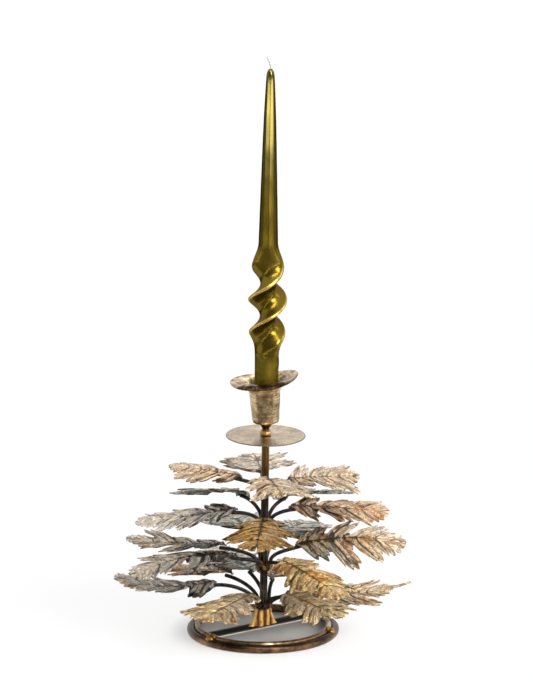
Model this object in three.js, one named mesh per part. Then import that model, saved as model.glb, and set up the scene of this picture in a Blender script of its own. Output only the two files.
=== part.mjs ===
// Candle holder in the form of a small tree: four tiers of stamped oak leaves on a leaning tube,
// a drip pan, a flared cup and a twisted taper candle. Millimetres, +Z up, origin on the table
// under the middle of the base.
import * as THREE from 'three';

// Fits
const CLEARANCE = 0.3;

// Base
const BASE_RING_RADIUS = 67;
const BASE_ROD_DIAMETER = 7.6;
const UPPER_ROD_DIAMETER = 5;
const NEST_ANGLE_DEG = 25;
const STRIP_WIDTH = 17;
const STRIP_THICKNESS = 1.2;
const STRIP_AZIMUTH_DEG = 35;
const STRIP_RISE = 1;
const BRAZE_DIAMETER = 4.4;
const BRAZE_LENGTH = 10;
const BRAZE_STEPS = 6;
const BRAZE_SIDES = 8;
const BRAZE_LEFT_AZIMUTH_DEG = 222;
const BRAZE_RIGHT_AZIMUTH_DEG = -16;

// Stem
const STEM_LEAN_DEG = 0.75;
const TUBE_DIAMETER = 7.2;
const TUBE_WALL = 1.2;
const FOOT_HEIGHT = 18;
const FOOT_HALF_LENGTH = 17;
const FOOT_ROOTS = 7;
const FOOT_ROOT_DEPTH = 0.9;
const HUB_DIAMETER = 16;
const HUB_HEIGHT = 7;
const LOWER_HUB_TOP = 68;
const MIDDLE_HUB_TOP = 108;
const UPPER_HUB_TOP = 140;

// Leaves
const LEAF_LENGTH = 100;
const LEAF_WIDTH = 66;
const LEAF_STEP = 10;
const LEAF_THICKNESS = 0.9;
const PETIOLE_WIDTH = 3.2;
const LEAF_ROD_DIAMETER = 3.5;
const LEAF_ROD_LAP = 14;
const LEAF_ROD_CLIMB = 0.6;
const LEAF_ROD_RUN = 0.45;
const LEAF_ROD_DIP_DEG = 7;

// Drip pan and neck
const PAN_HEIGHT = 190;
const PAN_DIAMETER = 74;
const PAN_THICKNESS = 1;
const PAN_COLLAR_DIAMETER = 11;
const PAN_COLLAR_HEIGHT = 6;
const NECK_HEIGHT = 11.5;
const NECK_DIAMETER = 11;
const NECK_WAIST_DIAMETER = 6.4;
const SPIGOT_LENGTH = 12;
const TENON_DIAMETER = 4.6;
const RIVET_HEAD_DIAMETER = 8.4;
const RIVET_HEAD_HEIGHT = 1.3;

// Cup
const CUP_TILT_DEG = 3;
const CUP_WALL = 1;
const CUP_FLOOR = 1.2;
const CUP_BODY_HEIGHT = 28;
const CUP_FLARE_HEIGHT = 12;
const CUP_FIT = 0.6;
const RIM_DIAMETER = 63;
const RIM_SIDE_RISE = 2.8;
const RIM_SADDLE = 1.7;

// Candle
const CANDLE_DIAMETER = 22;
const CANDLE_PLAIN_LENGTH = 57;
const TWIST_LENGTH = 108;
const TWIST_PITCH = 61;
const TWIST_WIDTH = 36;
const TWIST_THICKNESS = 13.5;
const TWIST_START_TURN = 0.09;
const TAPER_LENGTH = 168;
const TAPER_FOOT_DIAMETER = 18.2;
const TAPER_TIP_DIAMETER = 7.6;
const WICK_DIAMETER = 1.6;
const WICK_FREE_LENGTH = 10.5;
const WICK_BEND = 3.6;

// Facets
const RING_SIDES = 48;
const ROD_SIDES = 10;
const TURNED_SIDES = 24;
const STEM_SIDES = 6;
const STEM_STEPS = 7;

const rad = (degrees) => THREE.MathUtils.degToRad(degrees);
const mix = THREE.MathUtils.lerp;
const smooth = THREE.MathUtils.smoothstep;

// Three lobes on each side of a leaf: where the lobe starts and ends along the midrib as shares of the
// leaf's length, its reach as a share of the half width, and how far it leans towards the tip.
const LOBES = [
  { from: 0.08, to: 0.27, reach: 0.7, lean: 20 },
  { from: 0.27, to: 0.48, reach: 1, lean: 26 },
  { from: 0.48, to: 0.68, reach: 0.92, lean: 31 },
];
const LOBE_FAN_DEG = 24;
const LOBE_BLUNTNESS = 1.6;
const SINUS_SHARE = 0.36;
const LOBE_STEPS = 4;
// The end lobe's edge, along and across, as shares of the length.
const END_LOBE = [[0.76, 0.1], [0.84, 0.165], [0.91, 0.165], [0.965, 0.11], [1, 0.007]];

// Where each leaf sits: azimuth about the stem (0 right, 90 away, -90 towards the viewer), the radius at
// which its stalk ends and its rise over the tier in leaf steps, its length and width as multiples of the
// usual leaf, mean pitch, droop over its length, roll about the midrib, fold of each half (negative hangs
// down), and for one leaf a thin drawn-out tip.
const TIER_1 = [
  { spot: 'front_left', azimuth: -122, reach: 1.4, rise: 1.6, length: 0.98, width: 0.94,
    pitch: -3, droop: 4, roll: 2, fold: 0 },
  { spot: 'front_right', azimuth: -50, reach: 2.4, rise: 1.9, length: 0.88, width: 1,
    pitch: -3.5, droop: 2, roll: 0, fold: -2 },
  { spot: 'right', azimuth: 0, reach: 2.2, rise: 1.65, length: 1, width: 1,
    pitch: 1, droop: -30, roll: 2, fold: 0, tip: 0.17 },
  { spot: 'back_right', azimuth: 74, reach: 1.8, rise: 1.9, length: 0.9, width: 0.91,
    pitch: -4, droop: 4, roll: 0, fold: 0 },
  { spot: 'back_left', azimuth: 115, reach: 1.8, rise: 2.6, length: 1.04, width: 1,
    pitch: -2, droop: 4, roll: 0, fold: 0 },
  { spot: 'left_back', azimuth: 150, reach: 2.7, rise: 2.6, length: 0.86, width: 1,
    pitch: -5, droop: 4, roll: 8, fold: 0 },
  { spot: 'left', azimuth: 185, reach: 3.7, rise: 2.6, length: 1.05, width: 1,
    pitch: 2, droop: -42, roll: 0, fold: 0 },
];
const TIER_2 = [
  { spot: 'front_right', azimuth: -53, reach: 2, rise: 0.85, length: 0.99, width: 1,
    pitch: -8, droop: 10, roll: 0, fold: -3 },
  { spot: 'right', azimuth: 2, reach: 2.1, rise: 1.5, length: 1.12, width: 1.03,
    pitch: 2, droop: 26, roll: 20, fold: -12 },
  { spot: 'back_right', azimuth: 66, reach: 1.6, rise: 1.8, length: 0.94, width: 1,
    pitch: -4, droop: 8, roll: 0, fold: 0 },
  { spot: 'back_left', azimuth: 112, reach: 1.6, rise: 2.2, length: 0.96, width: 1,
    pitch: -3, droop: 8, roll: 0, fold: 0 },
  { spot: 'left', azimuth: 173, reach: 2.8, rise: 1.6, length: 1.02, width: 1,
    pitch: 0, droop: -14, roll: 2, fold: 1 },
  { spot: 'front_left', azimuth: 203, reach: 1.9, rise: 0.8, length: 1.17, width: 1,
    pitch: -4, droop: 32, roll: 0, fold: -3 },
];
const TIER_3 = [
  { spot: 'front', azimuth: -94, reach: 1, rise: 0.7, length: 1.04, width: 1,
    pitch: -1.5, droop: 6, roll: 0, fold: -3 },
  { spot: 'right', azimuth: -3, reach: 1.5, rise: 1.45, length: 1.01, width: 1,
    pitch: -2, droop: 6, roll: 8, fold: -5 },
  { spot: 'back_right', azimuth: 50, reach: 1.5, rise: 2, length: 0.92, width: 1,
    pitch: -9, droop: 2, roll: -12, fold: 0 },
  { spot: 'back_left', azimuth: 136, reach: 1.7, rise: 2.3, length: 0.9, width: 1,
    pitch: -10, droop: 2, roll: 12, fold: 0 },
  { spot: 'left', azimuth: 188, reach: 1.8, rise: 1.4, length: 1.04, width: 1,
    pitch: -7, droop: -8, roll: -2, fold: 0 },
];
const TIER_4 = [
  { spot: 'front', azimuth: -79, reach: 0.8, rise: 1.2, length: 0.74, width: 1,
    pitch: 3, droop: 5, roll: 0, fold: -3 },
  { spot: 'right', azimuth: 10, reach: 1.5, rise: 0.7, length: 0.74, width: 0.97,
    pitch: 0, droop: 6, roll: 10, fold: -4 },
  { spot: 'back', azimuth: 97, reach: 1, rise: 0.8, length: 0.86, width: 1.06,
    pitch: -1, droop: 4, roll: 0, fold: -3 },
  { spot: 'left', azimuth: 172, reach: 1.6, rise: 0.9, length: 0.75, width: 0.91,
    pitch: 6, droop: 2, roll: -3, fold: -9 },
];

// Heights that follow from the driving sizes
const baseRodRadius = BASE_ROD_DIAMETER / 2;
const upperRodRadius = UPPER_ROD_DIAMETER / 2;
const baseRodHeight = baseRodRadius * Math.cos(Math.PI / ROD_SIDES);
const nestDistance = baseRodRadius + upperRodRadius + CLEARANCE;
const upperRingRadius = BASE_RING_RADIUS - nestDistance * Math.cos(rad(NEST_ANGLE_DEG));
const upperRodHeight = baseRodHeight + nestDistance * Math.sin(rad(NEST_ANGLE_DEG));
const stripBottom = upperRodHeight + STRIP_RISE - STRIP_THICKNESS / 2;
const stripTop = stripBottom + STRIP_THICKNESS;
const footBottom = stripTop + CLEARANCE;
const footTop = footBottom + FOOT_HEIGHT;
const tubeRadius = TUBE_DIAMETER / 2;
const boreRadius = tubeRadius - TUBE_WALL;
const tubeTop = PAN_HEIGHT - CLEARANCE;
const panTop = PAN_HEIGHT + PAN_THICKNESS;
const neckRadius = NECK_DIAMETER / 2;
const neckBottom = panTop + CLEARANCE;
const neckTop = neckBottom + NECK_HEIGHT;
const cupBottom = neckTop + CLEARANCE + neckRadius * Math.tan(rad(CUP_TILT_DEG));
const rivetRadius = RIVET_HEAD_DIAMETER / 2;
const rivetBottom = cupBottom + CUP_FLOOR + CLEARANCE + rivetRadius * Math.tan(rad(CUP_TILT_DEG));
const candleBottom = rivetBottom + RIVET_HEAD_HEIGHT + CLEARANCE;
const candleRadius = CANDLE_DIAMETER / 2;
const twistBottom = candleBottom + CANDLE_PLAIN_LENGTH;
const taperBottom = twistBottom + TWIST_LENGTH;
const candleTop = taperBottom + TAPER_LENGTH;
const wickRadius = WICK_DIAMETER / 2;

const holder = new THREE.Group();
const leaning = new THREE.Group();
leaning.rotation.y = rad(STEM_LEAN_DEG);
holder.add(leaning);

const FINISHES = {
  dark_steel: { color: 0x5b4d3f, roughness: 0.5, metalness: 0.8 },
  brown_steel: { color: 0x6e5a3e, roughness: 0.45, metalness: 0.85 },
  black_steel: { color: 0x2b2826, roughness: 0.5, metalness: 0.75 },
  grey_tube: { color: 0x4d4a42, roughness: 0.45, metalness: 0.8 },
  braze_brass: { color: 0xb8893c, roughness: 0.35, metalness: 0.95 },
  leaf_brass: { color: 0xab9272, roughness: 0.42, metalness: 0.9 },
  pale_brass: { color: 0xc9b79a, roughness: 0.35, metalness: 0.9 },
  gold_wax: { color: 0x7d6d22, roughness: 0.3, metalness: 0.75 },
  wick_cotton: { color: 0xb9b3a6, roughness: 0.9, metalness: 0 },
};

function addPiece(parent, name, finish, geometry) {
  const piece = new THREE.Mesh(geometry, new THREE.MeshStandardMaterial(FINISHES[finish]));
  piece.name = name;
  parent.add(piece);
  return piece;
}

// A turned shape from a profile of [radius, height] points: the outside is listed upwards.
function turned(profile, sides) {
  const points = profile.map(([r, z]) => new THREE.Vector2(r, z));
  return new THREE.LatheGeometry(points, sides).rotateX(Math.PI / 2);
}

const closed = (profile) => [...profile, profile[0]];

// A straight wall between two radii and two heights.
function pipe(outer, inner, bottom, top, sides) {
  return turned(closed([[outer, bottom], [outer, top], [inner, top], [inner, bottom]]), sides);
}

// A ring of a round rod, with a flat of the rod turned down.
function rodRing(ringRadius, rodRadius, height) {
  const section = [];
  for (let i = 0; i < ROD_SIDES; i += 1) {
    const angle = -Math.PI / 2 + (2 * Math.PI * (i + 0.5)) / ROD_SIDES;
    section.push([ringRadius + rodRadius * Math.cos(angle), height + rodRadius * Math.sin(angle)]);
  }
  return turned(closed(section), RING_SIDES);
}

// A skin over rings of points that all have the same count: joined end to end, or capped at both ends.
function skin(rings, joined) {
  const count = rings[0].length;
  const positions = rings.flat().flatMap((p) => [p.x, p.y, p.z]);
  const index = [];
  const last = joined ? rings.length : rings.length - 1;
  for (let i = 0; i < last; i += 1) {
    const low = i * count;
    const high = ((i + 1) % rings.length) * count;
    for (let j = 0; j < count; j += 1) {
      const next = (j + 1) % count;
      index.push(low + j, low + next, high + next, low + j, high + next, high + j);
    }
  }
  if (!joined) {
    const top = (rings.length - 1) * count;
    for (let j = 1; j < count - 1; j += 1) {
      index.push(0, j + 1, j);
      index.push(top, top + j, top + j + 1);
    }
  }
  const geometry = new THREE.BufferGeometry();
  geometry.setAttribute('position', new THREE.Float32BufferAttribute(positions, 3));
  geometry.setIndex(index);
  return geometry;
}

// A ring of points about the Z axis; radius and height may vary with the angle.
function ringOf(sides, radius, height) {
  const points = [];
  for (let i = 0; i < sides; i += 1) {
    const angle = (2 * Math.PI * i) / sides;
    const r = typeof radius === 'function' ? radius(angle) : radius;
    const z = typeof height === 'function' ? height(angle) : height;
    points.push(new THREE.Vector3(r * Math.cos(angle), r * Math.sin(angle), z));
  }
  return points;
}

function polygon(radius, sides) {
  const shape = new THREE.Shape();
  for (let i = 0; i < sides; i += 1) {
    const angle = (2 * Math.PI * i) / sides;
    const [x, y] = [radius * Math.cos(angle), radius * Math.sin(angle)];
    if (i === 0) shape.moveTo(x, y);
    else shape.lineTo(x, y);
  }
  return shape;
}

function rodAlong(curve, radius, sides, steps) {
  const settings = { steps, extrudePath: curve, bevelEnabled: false };
  return new THREE.ExtrudeGeometry(polygon(radius, sides), settings);
}

// Base: two nested rings, the beads that join them, and the strip across
function addBase() {
  addPiece(holder, 'lower_ring', 'dark_steel', rodRing(BASE_RING_RADIUS, baseRodRadius, baseRodHeight));
  addPiece(holder, 'upper_ring', 'brown_steel', rodRing(upperRingRadius, upperRodRadius, upperRodHeight));
  addBraze('braze_left', rad(BRAZE_LEFT_AZIMUTH_DEG));
  addBraze('braze_right', rad(BRAZE_RIGHT_AZIMUTH_DEG));
  const stripEnd = upperRingRadius - upperRodRadius - CLEARANCE;
  const corner = Math.asin(STRIP_WIDTH / 2 / stripEnd);
  const outline = new THREE.Shape();
  outline.absarc(0, 0, stripEnd, -corner, corner, false);
  outline.absarc(0, 0, stripEnd, Math.PI - corner, Math.PI + corner, false);
  const settings = { depth: STRIP_THICKNESS, bevelEnabled: false, curveSegments: 4 };
  const piece = addPiece(holder, 'cross_strip', 'black_steel', new THREE.ExtrudeGeometry(outline, settings));
  piece.rotation.z = rad(STRIP_AZIMUTH_DEG);
  piece.position.z = stripBottom;
}

// A bead lying in the groove over the two rings, touching both rods.
function addBraze(name, azimuth) {
  const beadRadius = BRAZE_DIAMETER / 2;
  const toBase = baseRodRadius + beadRadius + CLEARANCE;
  const toUpper = upperRodRadius + beadRadius + CLEARANCE;
  const along = (toBase ** 2 - toUpper ** 2 + nestDistance ** 2) / (2 * nestDistance);
  const across = Math.sqrt(toBase ** 2 - along ** 2);
  const [c, s] = [Math.cos(rad(NEST_ANGLE_DEG)), Math.sin(rad(NEST_ANGLE_DEG))];
  const beadRing = BASE_RING_RADIUS - along * c + across * s;
  const beadHeight = baseRodHeight + along * s + across * c;
  const rings = [];
  for (let i = 0; i <= BRAZE_STEPS; i += 1) {
    const share = i / BRAZE_STEPS - 0.5;
    const turn = azimuth + (share * BRAZE_LENGTH) / beadRing;
    const girth = beadRadius * Math.sqrt(1 - (1.8 * share) ** 2);
    const ring = [];
    for (let j = 0; j < BRAZE_SIDES; j += 1) {
      const angle = (-2 * Math.PI * j) / BRAZE_SIDES;
      const r = beadRing + girth * Math.cos(angle);
      const z = beadHeight + girth * Math.sin(angle);
      ring.push(new THREE.Vector3(r * Math.cos(turn), r * Math.sin(turn), z));
    }
    rings.push(ring);
  }
  addPiece(holder, name, 'braze_brass', skin(rings, false));
}

// Stem: the flared foot, the tube and the three hubs
function addStem() {
  const hubRadius = HUB_DIAMETER / 2;
  const tubeHole = tubeRadius + CLEARANCE;
  const footHole = tubeHole + FOOT_HEIGHT * Math.tan(rad(STEM_LEAN_DEG));
  const footHalfWidth = STRIP_WIDTH / 2;
  const footRings = [];
  const footSteps = 5;
  for (let i = 0; i <= footSteps; i += 1) {
    const up = i / footSteps;
    const flare = (1 - up) ** 2;
    const radiusAt = (angle) => {
      const long = mix(hubRadius, FOOT_HALF_LENGTH, flare);
      const short = mix(hubRadius, footHalfWidth, flare);
      const turn = angle - rad(STRIP_AZIMUTH_DEG);
      const round = 1 / Math.hypot(Math.cos(turn) / long, Math.sin(turn) / short);
      return round - FOOT_ROOT_DEPTH * (1 - up) * (0.5 + 0.5 * Math.cos(FOOT_ROOTS * turn));
    };
    footRings.push(ringOf(4 * FOOT_ROOTS, radiusAt, mix(footBottom, footTop, up)));
  }
  footRings.push(ringOf(4 * FOOT_ROOTS, footHole, footTop));
  footRings.push(ringOf(4 * FOOT_ROOTS, footHole, footBottom));
  addPiece(holder, 'root_foot', 'braze_brass', skin(footRings, true));

  const tubeBottom = footBottom + tubeRadius * Math.tan(rad(STEM_LEAN_DEG));
  const tube = pipe(tubeRadius, boreRadius, tubeBottom, tubeTop, TURNED_SIDES);
  addPiece(leaning, 'stem_tube', 'grey_tube', tube);

  const hubs = { hub_lower: LOWER_HUB_TOP, hub_middle: MIDDLE_HUB_TOP, hub_upper: UPPER_HUB_TOP };
  for (const [name, top] of Object.entries(hubs)) {
    const bottom = top - HUB_HEIGHT;
    const hub = closed([
      [tubeHole, bottom],
      [mix(tubeHole, hubRadius, 0.5), bottom + 0.12 * HUB_HEIGHT],
      [hubRadius, bottom + 0.5 * HUB_HEIGHT],
      [hubRadius, top],
      [tubeHole, top],
    ]);
    addPiece(leaning, name, 'braze_brass', turned(hub, TURNED_SIDES));
  }
}

// A leaf's bent sheet as a function: u along the midrib, v across to the left, w out of the upper face.
function leafSurface(leaf, tierTop) {
  const turn = rad(leaf.azimuth);
  const forward = new THREE.Vector3(Math.cos(turn), Math.sin(turn), 0);
  const left = new THREE.Vector3(-Math.sin(turn), Math.cos(turn), 0);
  const bend = rad(leaf.droop) / leaf.length;
  const start = rad(leaf.pitch + leaf.droop / 2);
  const [rollC, rollS] = [Math.cos(rad(leaf.roll)), Math.sin(rad(leaf.roll))];
  const [foldC, foldS] = [Math.cos(rad(leaf.fold)), Math.sin(rad(leaf.fold))];
  return (u, v, w) => {
    const slope = start - bend * u;
    const out = leaf.reach + (Math.sin(start) - Math.sin(slope)) / bend;
    const height = tierTop + leaf.rise + (Math.cos(slope) - Math.cos(start)) / bend;
    const [across, lift] = [v * foldC, Math.abs(v) * foldS + w];
    const sideways = across * rollC - lift * rollS;
    const normal = across * rollS + lift * rollC;
    const point = forward.clone().multiplyScalar(out - normal * Math.sin(slope));
    point.addScaledVector(left, sideways);
    point.z = height + normal * Math.cos(slope);
    return point;
  };
}

// The stations of a leaf: where each side rib leaves the midrib, and where it ends on the edge.
function leafStations(leaf) {
  const halfWidth = leaf.width / 2;
  const stations = [{ root: 0, u: 0, v: PETIOLE_WIDTH / 2 }];
  for (const lobe of LOBES) {
    for (let i = 0; i < LOBE_STEPS; i += 1) {
      const share = i / LOBE_STEPS;
      const swell = Math.min(1, LOBE_BLUNTNESS * Math.sin(Math.PI * share));
      const angle = rad(lobe.lean + LOBE_FAN_DEG * (share - 0.5));
      const full = (halfWidth * lobe.reach) / Math.cos(rad(lobe.lean));
      const first = lobe === LOBES[0] && i === 0;
      const rib = first ? PETIOLE_WIDTH / 2 : full * mix(SINUS_SHARE, 1, swell);
      const root = mix(lobe.from, lobe.to, share) * leaf.length;
      stations.push({ root, u: root + rib * Math.sin(angle), v: rib * Math.cos(angle) });
    }
  }
  END_LOBE.forEach(([along, across], i) => {
    const root = mix(LOBES.at(-1).to, 1, i / (END_LOBE.length - 1)) * leaf.length;
    stations.push({ root, u: along * leaf.length, v: across * leaf.length });
  });
  if (leaf.tip > 0) {
    const root = leaf.length + leaf.tip / 2;
    stations.push({ root, u: leaf.length + leaf.tip, v: PETIOLE_WIDTH / 4 });
  }
  return stations;
}

function leafSheet(leaf, surface) {
  const half = LEAF_THICKNESS / 2;
  const rings = leafStations(leaf).map(({ root, u, v }) => [
    surface(u, v, half),
    surface(root, 0, half),
    surface(u, -v, half),
    surface(u, -v, -half),
    surface(root, 0, -half),
    surface(u, v, -half),
  ]);
  return skin(rings, false);
}

// The rod from its seat beside the tube, up and out, to its end under the leaf.
function leafRod(surface, seatTurn, tierTop) {
  const radius = LEAF_ROD_DIAMETER / 2;
  const seatRadius = tubeRadius + radius + 2 * CLEARANCE;
  const under = -(LEAF_THICKNESS / 2 + CLEARANCE + radius);
  const [seatX, seatY] = [seatRadius * Math.cos(seatTurn), seatRadius * Math.sin(seatTurn)];
  const seat = new THREE.Vector3(seatX, seatY, tierTop + CLEARANCE);
  const end = surface(LEAF_ROD_LAP, 0, under);
  const climb = LEAF_ROD_CLIMB * (end.z - seat.z);
  const upright = seat.clone().add(new THREE.Vector3(0, 0, climb));
  const run = LEAF_ROD_RUN * Math.hypot(end.x - seat.x, end.y - seat.y);
  const approach = surface(LEAF_ROD_LAP - run, 0, under - run * Math.tan(rad(LEAF_ROD_DIP_DEG)));
  const curve = new THREE.CubicBezierCurve3(seat, upright, approach, end);
  return rodAlong(curve, radius, STEM_SIDES, STEM_STEPS);
}

// A leaf of the table in real sizes.
function sized(leaf) {
  return {
    ...leaf,
    reach: leaf.reach * LEAF_STEP,
    rise: leaf.rise * LEAF_STEP,
    length: leaf.length * LEAF_LENGTH,
    width: leaf.width * LEAF_WIDTH,
    tip: (leaf.tip ?? 0) * LEAF_LENGTH,
  };
}

function addTier(number, leaves, tierTop) {
  const firstTurn = rad(leaves[0].azimuth);
  leaves.map(sized).forEach((leaf, i) => {
    const surface = leafSurface(leaf, tierTop);
    const spot = `tier${number}_${leaf.spot}`;
    const seatTurn = firstTurn + (2 * Math.PI * i) / leaves.length;
    addPiece(leaning, `leaf_${spot}`, 'leaf_brass', leafSheet(leaf, surface));
    addPiece(leaning, `stem_${spot}`, 'black_steel', leafRod(surface, seatTurn, tierTop));
  });
}

// Drip pan with the ferrule under it, and the neck that pins pan, tube and cup together
function addPanAndNeck() {
  const spigotRadius = boreRadius - CLEARANCE;
  const tenonRadius = TENON_DIAMETER / 2;
  const waistRadius = NECK_WAIST_DIAMETER / 2;
  const tubeHole = tubeRadius + CLEARANCE;
  const collarRadius = PAN_COLLAR_DIAMETER / 2;
  const collarBottom = tubeTop - PAN_COLLAR_HEIGHT;
  const collar = closed([
    [tubeHole, collarBottom],
    [mix(tubeHole, collarRadius, 0.5), collarBottom],
    [collarRadius, mix(collarBottom, tubeTop, 0.4)],
    [collarRadius, tubeTop],
    [tubeHole, tubeTop],
  ]);
  addPiece(leaning, 'pan_collar', 'braze_brass', turned(collar, TURNED_SIDES));

  const panRadius = PAN_DIAMETER / 2;
  const panHole = spigotRadius + CLEARANCE;
  addPiece(leaning, 'drip_pan', 'pale_brass', pipe(panRadius, panHole, PAN_HEIGHT, panTop, RING_SIDES));

  const neck = [
    [0, panTop - SPIGOT_LENGTH],
    [spigotRadius, panTop - SPIGOT_LENGTH],
    [spigotRadius, neckBottom],
    [neckRadius, neckBottom],
    [neckRadius, mix(neckBottom, neckTop, 0.25)],
    [waistRadius, mix(neckBottom, neckTop, 0.45)],
    [waistRadius, mix(neckBottom, neckTop, 0.55)],
    [neckRadius, mix(neckBottom, neckTop, 0.9)],
    [neckRadius, neckTop],
    [tenonRadius, neckTop],
    [tenonRadius, rivetBottom],
    [rivetRadius, rivetBottom],
    [0.75 * rivetRadius, rivetBottom + RIVET_HEAD_HEIGHT],
    [0, rivetBottom + RIVET_HEAD_HEIGHT],
  ];
  addPiece(leaning, 'neck', 'brown_steel', turned(neck, TURNED_SIDES));
}

// Cup: a tapered body with a flared rim that dips on the left and rises on the right
function addCup() {
  const tilt = rad(CUP_TILT_DEG);
  const depth = CUP_BODY_HEIGHT;
  const bottomInner = candleRadius + CUP_FIT;
  const topInner = bottomInner + depth * Math.tan(tilt) + CUP_FIT / 2;
  const bottomOuter = bottomInner + CUP_WALL;
  const topOuter = topInner + CUP_WALL;
  const rimRadius = RIM_DIAMETER / 2;
  const hole = TENON_DIAMETER / 2 + 2 * CLEARANCE;
  const rimWave = (share) => (angle) =>
    share * (RIM_SIDE_RISE * Math.cos(angle) + RIM_SADDLE * Math.cos(2 * angle));
  const ring = (radius, height, share) => {
    const wave = rimWave(share);
    return ringOf(RING_SIDES, radius, (angle) => height + wave(angle));
  };
  // Share of the flare's height against share of the way out to the rim
  const flare = [[0.25, 0.1], [0.6, 0.36], [0.84, 0.66], [1, 1]];
  const outside = flare.map(([up, out]) =>
    ring(mix(topOuter, rimRadius, out), depth + up * CUP_FLARE_HEIGHT, out));
  const inside = flare.toReversed().map(([up, out]) =>
    ring(mix(topInner, rimRadius - CUP_WALL / 2, out), depth + up * CUP_FLARE_HEIGHT + CUP_WALL, out));
  const rings = [
    ring(hole, 0, 0),
    ring(bottomOuter - 2 * CUP_WALL, 0, 0),
    ring(bottomOuter - CUP_WALL / 2, CUP_FLOOR, 0),
    ring(bottomOuter, 3 * CUP_FLOOR, 0),
    ring(topOuter, depth, 0),
    ...outside,
    ...inside,
    ring(topInner, depth, 0),
    ring(bottomInner, 2 * CUP_FLOOR, 0),
    ring(bottomInner - CUP_WALL, CUP_FLOOR, 0),
    ring(hole, CUP_FLOOR, 0),
  ];
  const cup = addPiece(leaning, 'candle_cup', 'pale_brass', skin(rings, true));
  cup.rotation.y = -tilt;
  cup.position.z = cupBottom;
}

// Candle: plain foot, flattened and twisted stretch, long taper, bored for the wick
function addCandle() {
  const sides = 24;
  const footRadius = TAPER_FOOT_DIAMETER / 2;
  const tipRadius = TAPER_TIP_DIAMETER / 2;
  const wickHole = wickRadius + CLEARANCE;
  const twistRing = (share) => {
    const swell = smooth(share, 0, 0.24) * (1 - smooth(share, 0.66, 1));
    const round = mix(candleRadius, footRadius, smooth(share, 0.4, 1));
    const long = mix(round, TWIST_WIDTH / 2, swell);
    const short = mix(round, TWIST_THICKNESS / 2, swell);
    const turn = 2 * Math.PI * ((share * TWIST_LENGTH) / TWIST_PITCH + TWIST_START_TURN);
    const points = [];
    for (let i = 0; i < sides; i += 1) {
      const angle = (2 * Math.PI * i) / sides;
      const [a, b] = [long * Math.cos(angle - turn), short * Math.sin(angle - turn)];
      const x = a * Math.cos(turn) - b * Math.sin(turn);
      const y = a * Math.sin(turn) + b * Math.cos(turn);
      points.push(new THREE.Vector3(x, y, twistBottom + share * TWIST_LENGTH));
    }
    return points;
  };
  const rings = [ringOf(sides, candleRadius, candleBottom)];
  const twistSteps = 27;
  for (let i = 0; i <= twistSteps; i += 1) rings.push(twistRing(i / twistSteps));
  // The taper is straight, and its last stretch rounds off as a half ellipse
  const domeHeight = 2 * tipRadius;
  const domeBottom = candleTop - domeHeight;
  rings.push(ringOf(sides, tipRadius, domeBottom));
  for (const angle of [30, 55, 70]) {
    const height = domeBottom + domeHeight * Math.sin(rad(angle));
    rings.push(ringOf(sides, tipRadius * Math.cos(rad(angle)), height));
  }
  rings.push(ringOf(sides, wickHole, candleTop - CLEARANCE));
  rings.push(ringOf(sides, wickHole, candleBottom));
  addPiece(leaning, 'candle', 'gold_wax', skin(rings, true));

  const wickRings = [ringOf(STEM_SIDES, wickRadius, candleBottom)];
  const bendSteps = 5;
  for (let i = 0; i <= bendSteps; i += 1) {
    const share = i / bendSteps;
    const ring = ringOf(STEM_SIDES, wickRadius, candleTop + share * WICK_FREE_LENGTH);
    ring.forEach((point) => { point.x -= WICK_BEND * share ** 2; });
    wickRings.push(ring);
  }
  addPiece(leaning, 'wick', 'wick_cotton', skin(wickRings, false));
}

addBase();
addStem();
addTier(1, TIER_1, footTop);
addTier(2, TIER_2, LOWER_HUB_TOP);
addTier(3, TIER_3, MIDDLE_HUB_TOP);
addTier(4, TIER_4, UPPER_HUB_TOP);
addPanAndNeck();
addCup();
addCandle();

export default holder;
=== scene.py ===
import math
import random
from collections import namedtuple

import bpy
from mathutils import Matrix, Vector, noise


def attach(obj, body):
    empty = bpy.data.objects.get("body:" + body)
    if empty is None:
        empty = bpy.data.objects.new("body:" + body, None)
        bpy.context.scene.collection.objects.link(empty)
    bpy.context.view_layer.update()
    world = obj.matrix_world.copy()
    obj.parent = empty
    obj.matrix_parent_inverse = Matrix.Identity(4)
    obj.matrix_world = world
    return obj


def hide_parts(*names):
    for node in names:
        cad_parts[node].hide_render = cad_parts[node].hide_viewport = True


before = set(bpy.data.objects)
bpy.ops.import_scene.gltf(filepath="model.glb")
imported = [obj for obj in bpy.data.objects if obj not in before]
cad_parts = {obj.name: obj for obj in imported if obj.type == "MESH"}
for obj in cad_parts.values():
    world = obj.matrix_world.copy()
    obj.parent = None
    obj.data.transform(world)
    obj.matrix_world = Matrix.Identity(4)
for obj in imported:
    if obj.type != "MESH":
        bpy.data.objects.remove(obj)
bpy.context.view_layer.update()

# Sizes in millimetres, as in the solids
MM = 0.001
GAP = 0.3
LEAN_DEG = 0.75
LOWER_RING, LOWER_ROD, LOWER_HEIGHT = 67.0, 3.8, 3.61
UPPER_RING, UPPER_ROD, UPPER_HEIGHT = 61.02, 2.5, 6.4
STRIP_AZIMUTH_DEG, STRIP_WIDTH = 35.0, 17.0
STRIP_BOTTOM, STRIP_TOP, STRIP_END = 6.8, 8.0, 58.2
FOOT_BOTTOM, FOOT_TOP, FOOT_LENGTH, FOOT_WIDTH, FOOT_HOLE = 8.3, 26.3, 16.0, 6.6, 4.14
TUBE_RADIUS, TUBE_BORE, TUBE_BOTTOM, TUBE_TOP = 3.6, 2.4, 8.35, 189.7
HUB_RADIUS, HUB_HEIGHT, HUB_HOLE = 8.0, 7.0, 3.9
TIER_TOPS = {1: FOOT_TOP, 2: 68.0, 3: 108.0, 4: 140.0}
ROD_RADIUS, ROD_LAP, ROD_CLIMB, ROD_RUN, ROD_DIP_DEG = 1.75, 14.0, 0.6, 0.45, 7.0
SHEET = 0.9
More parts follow.
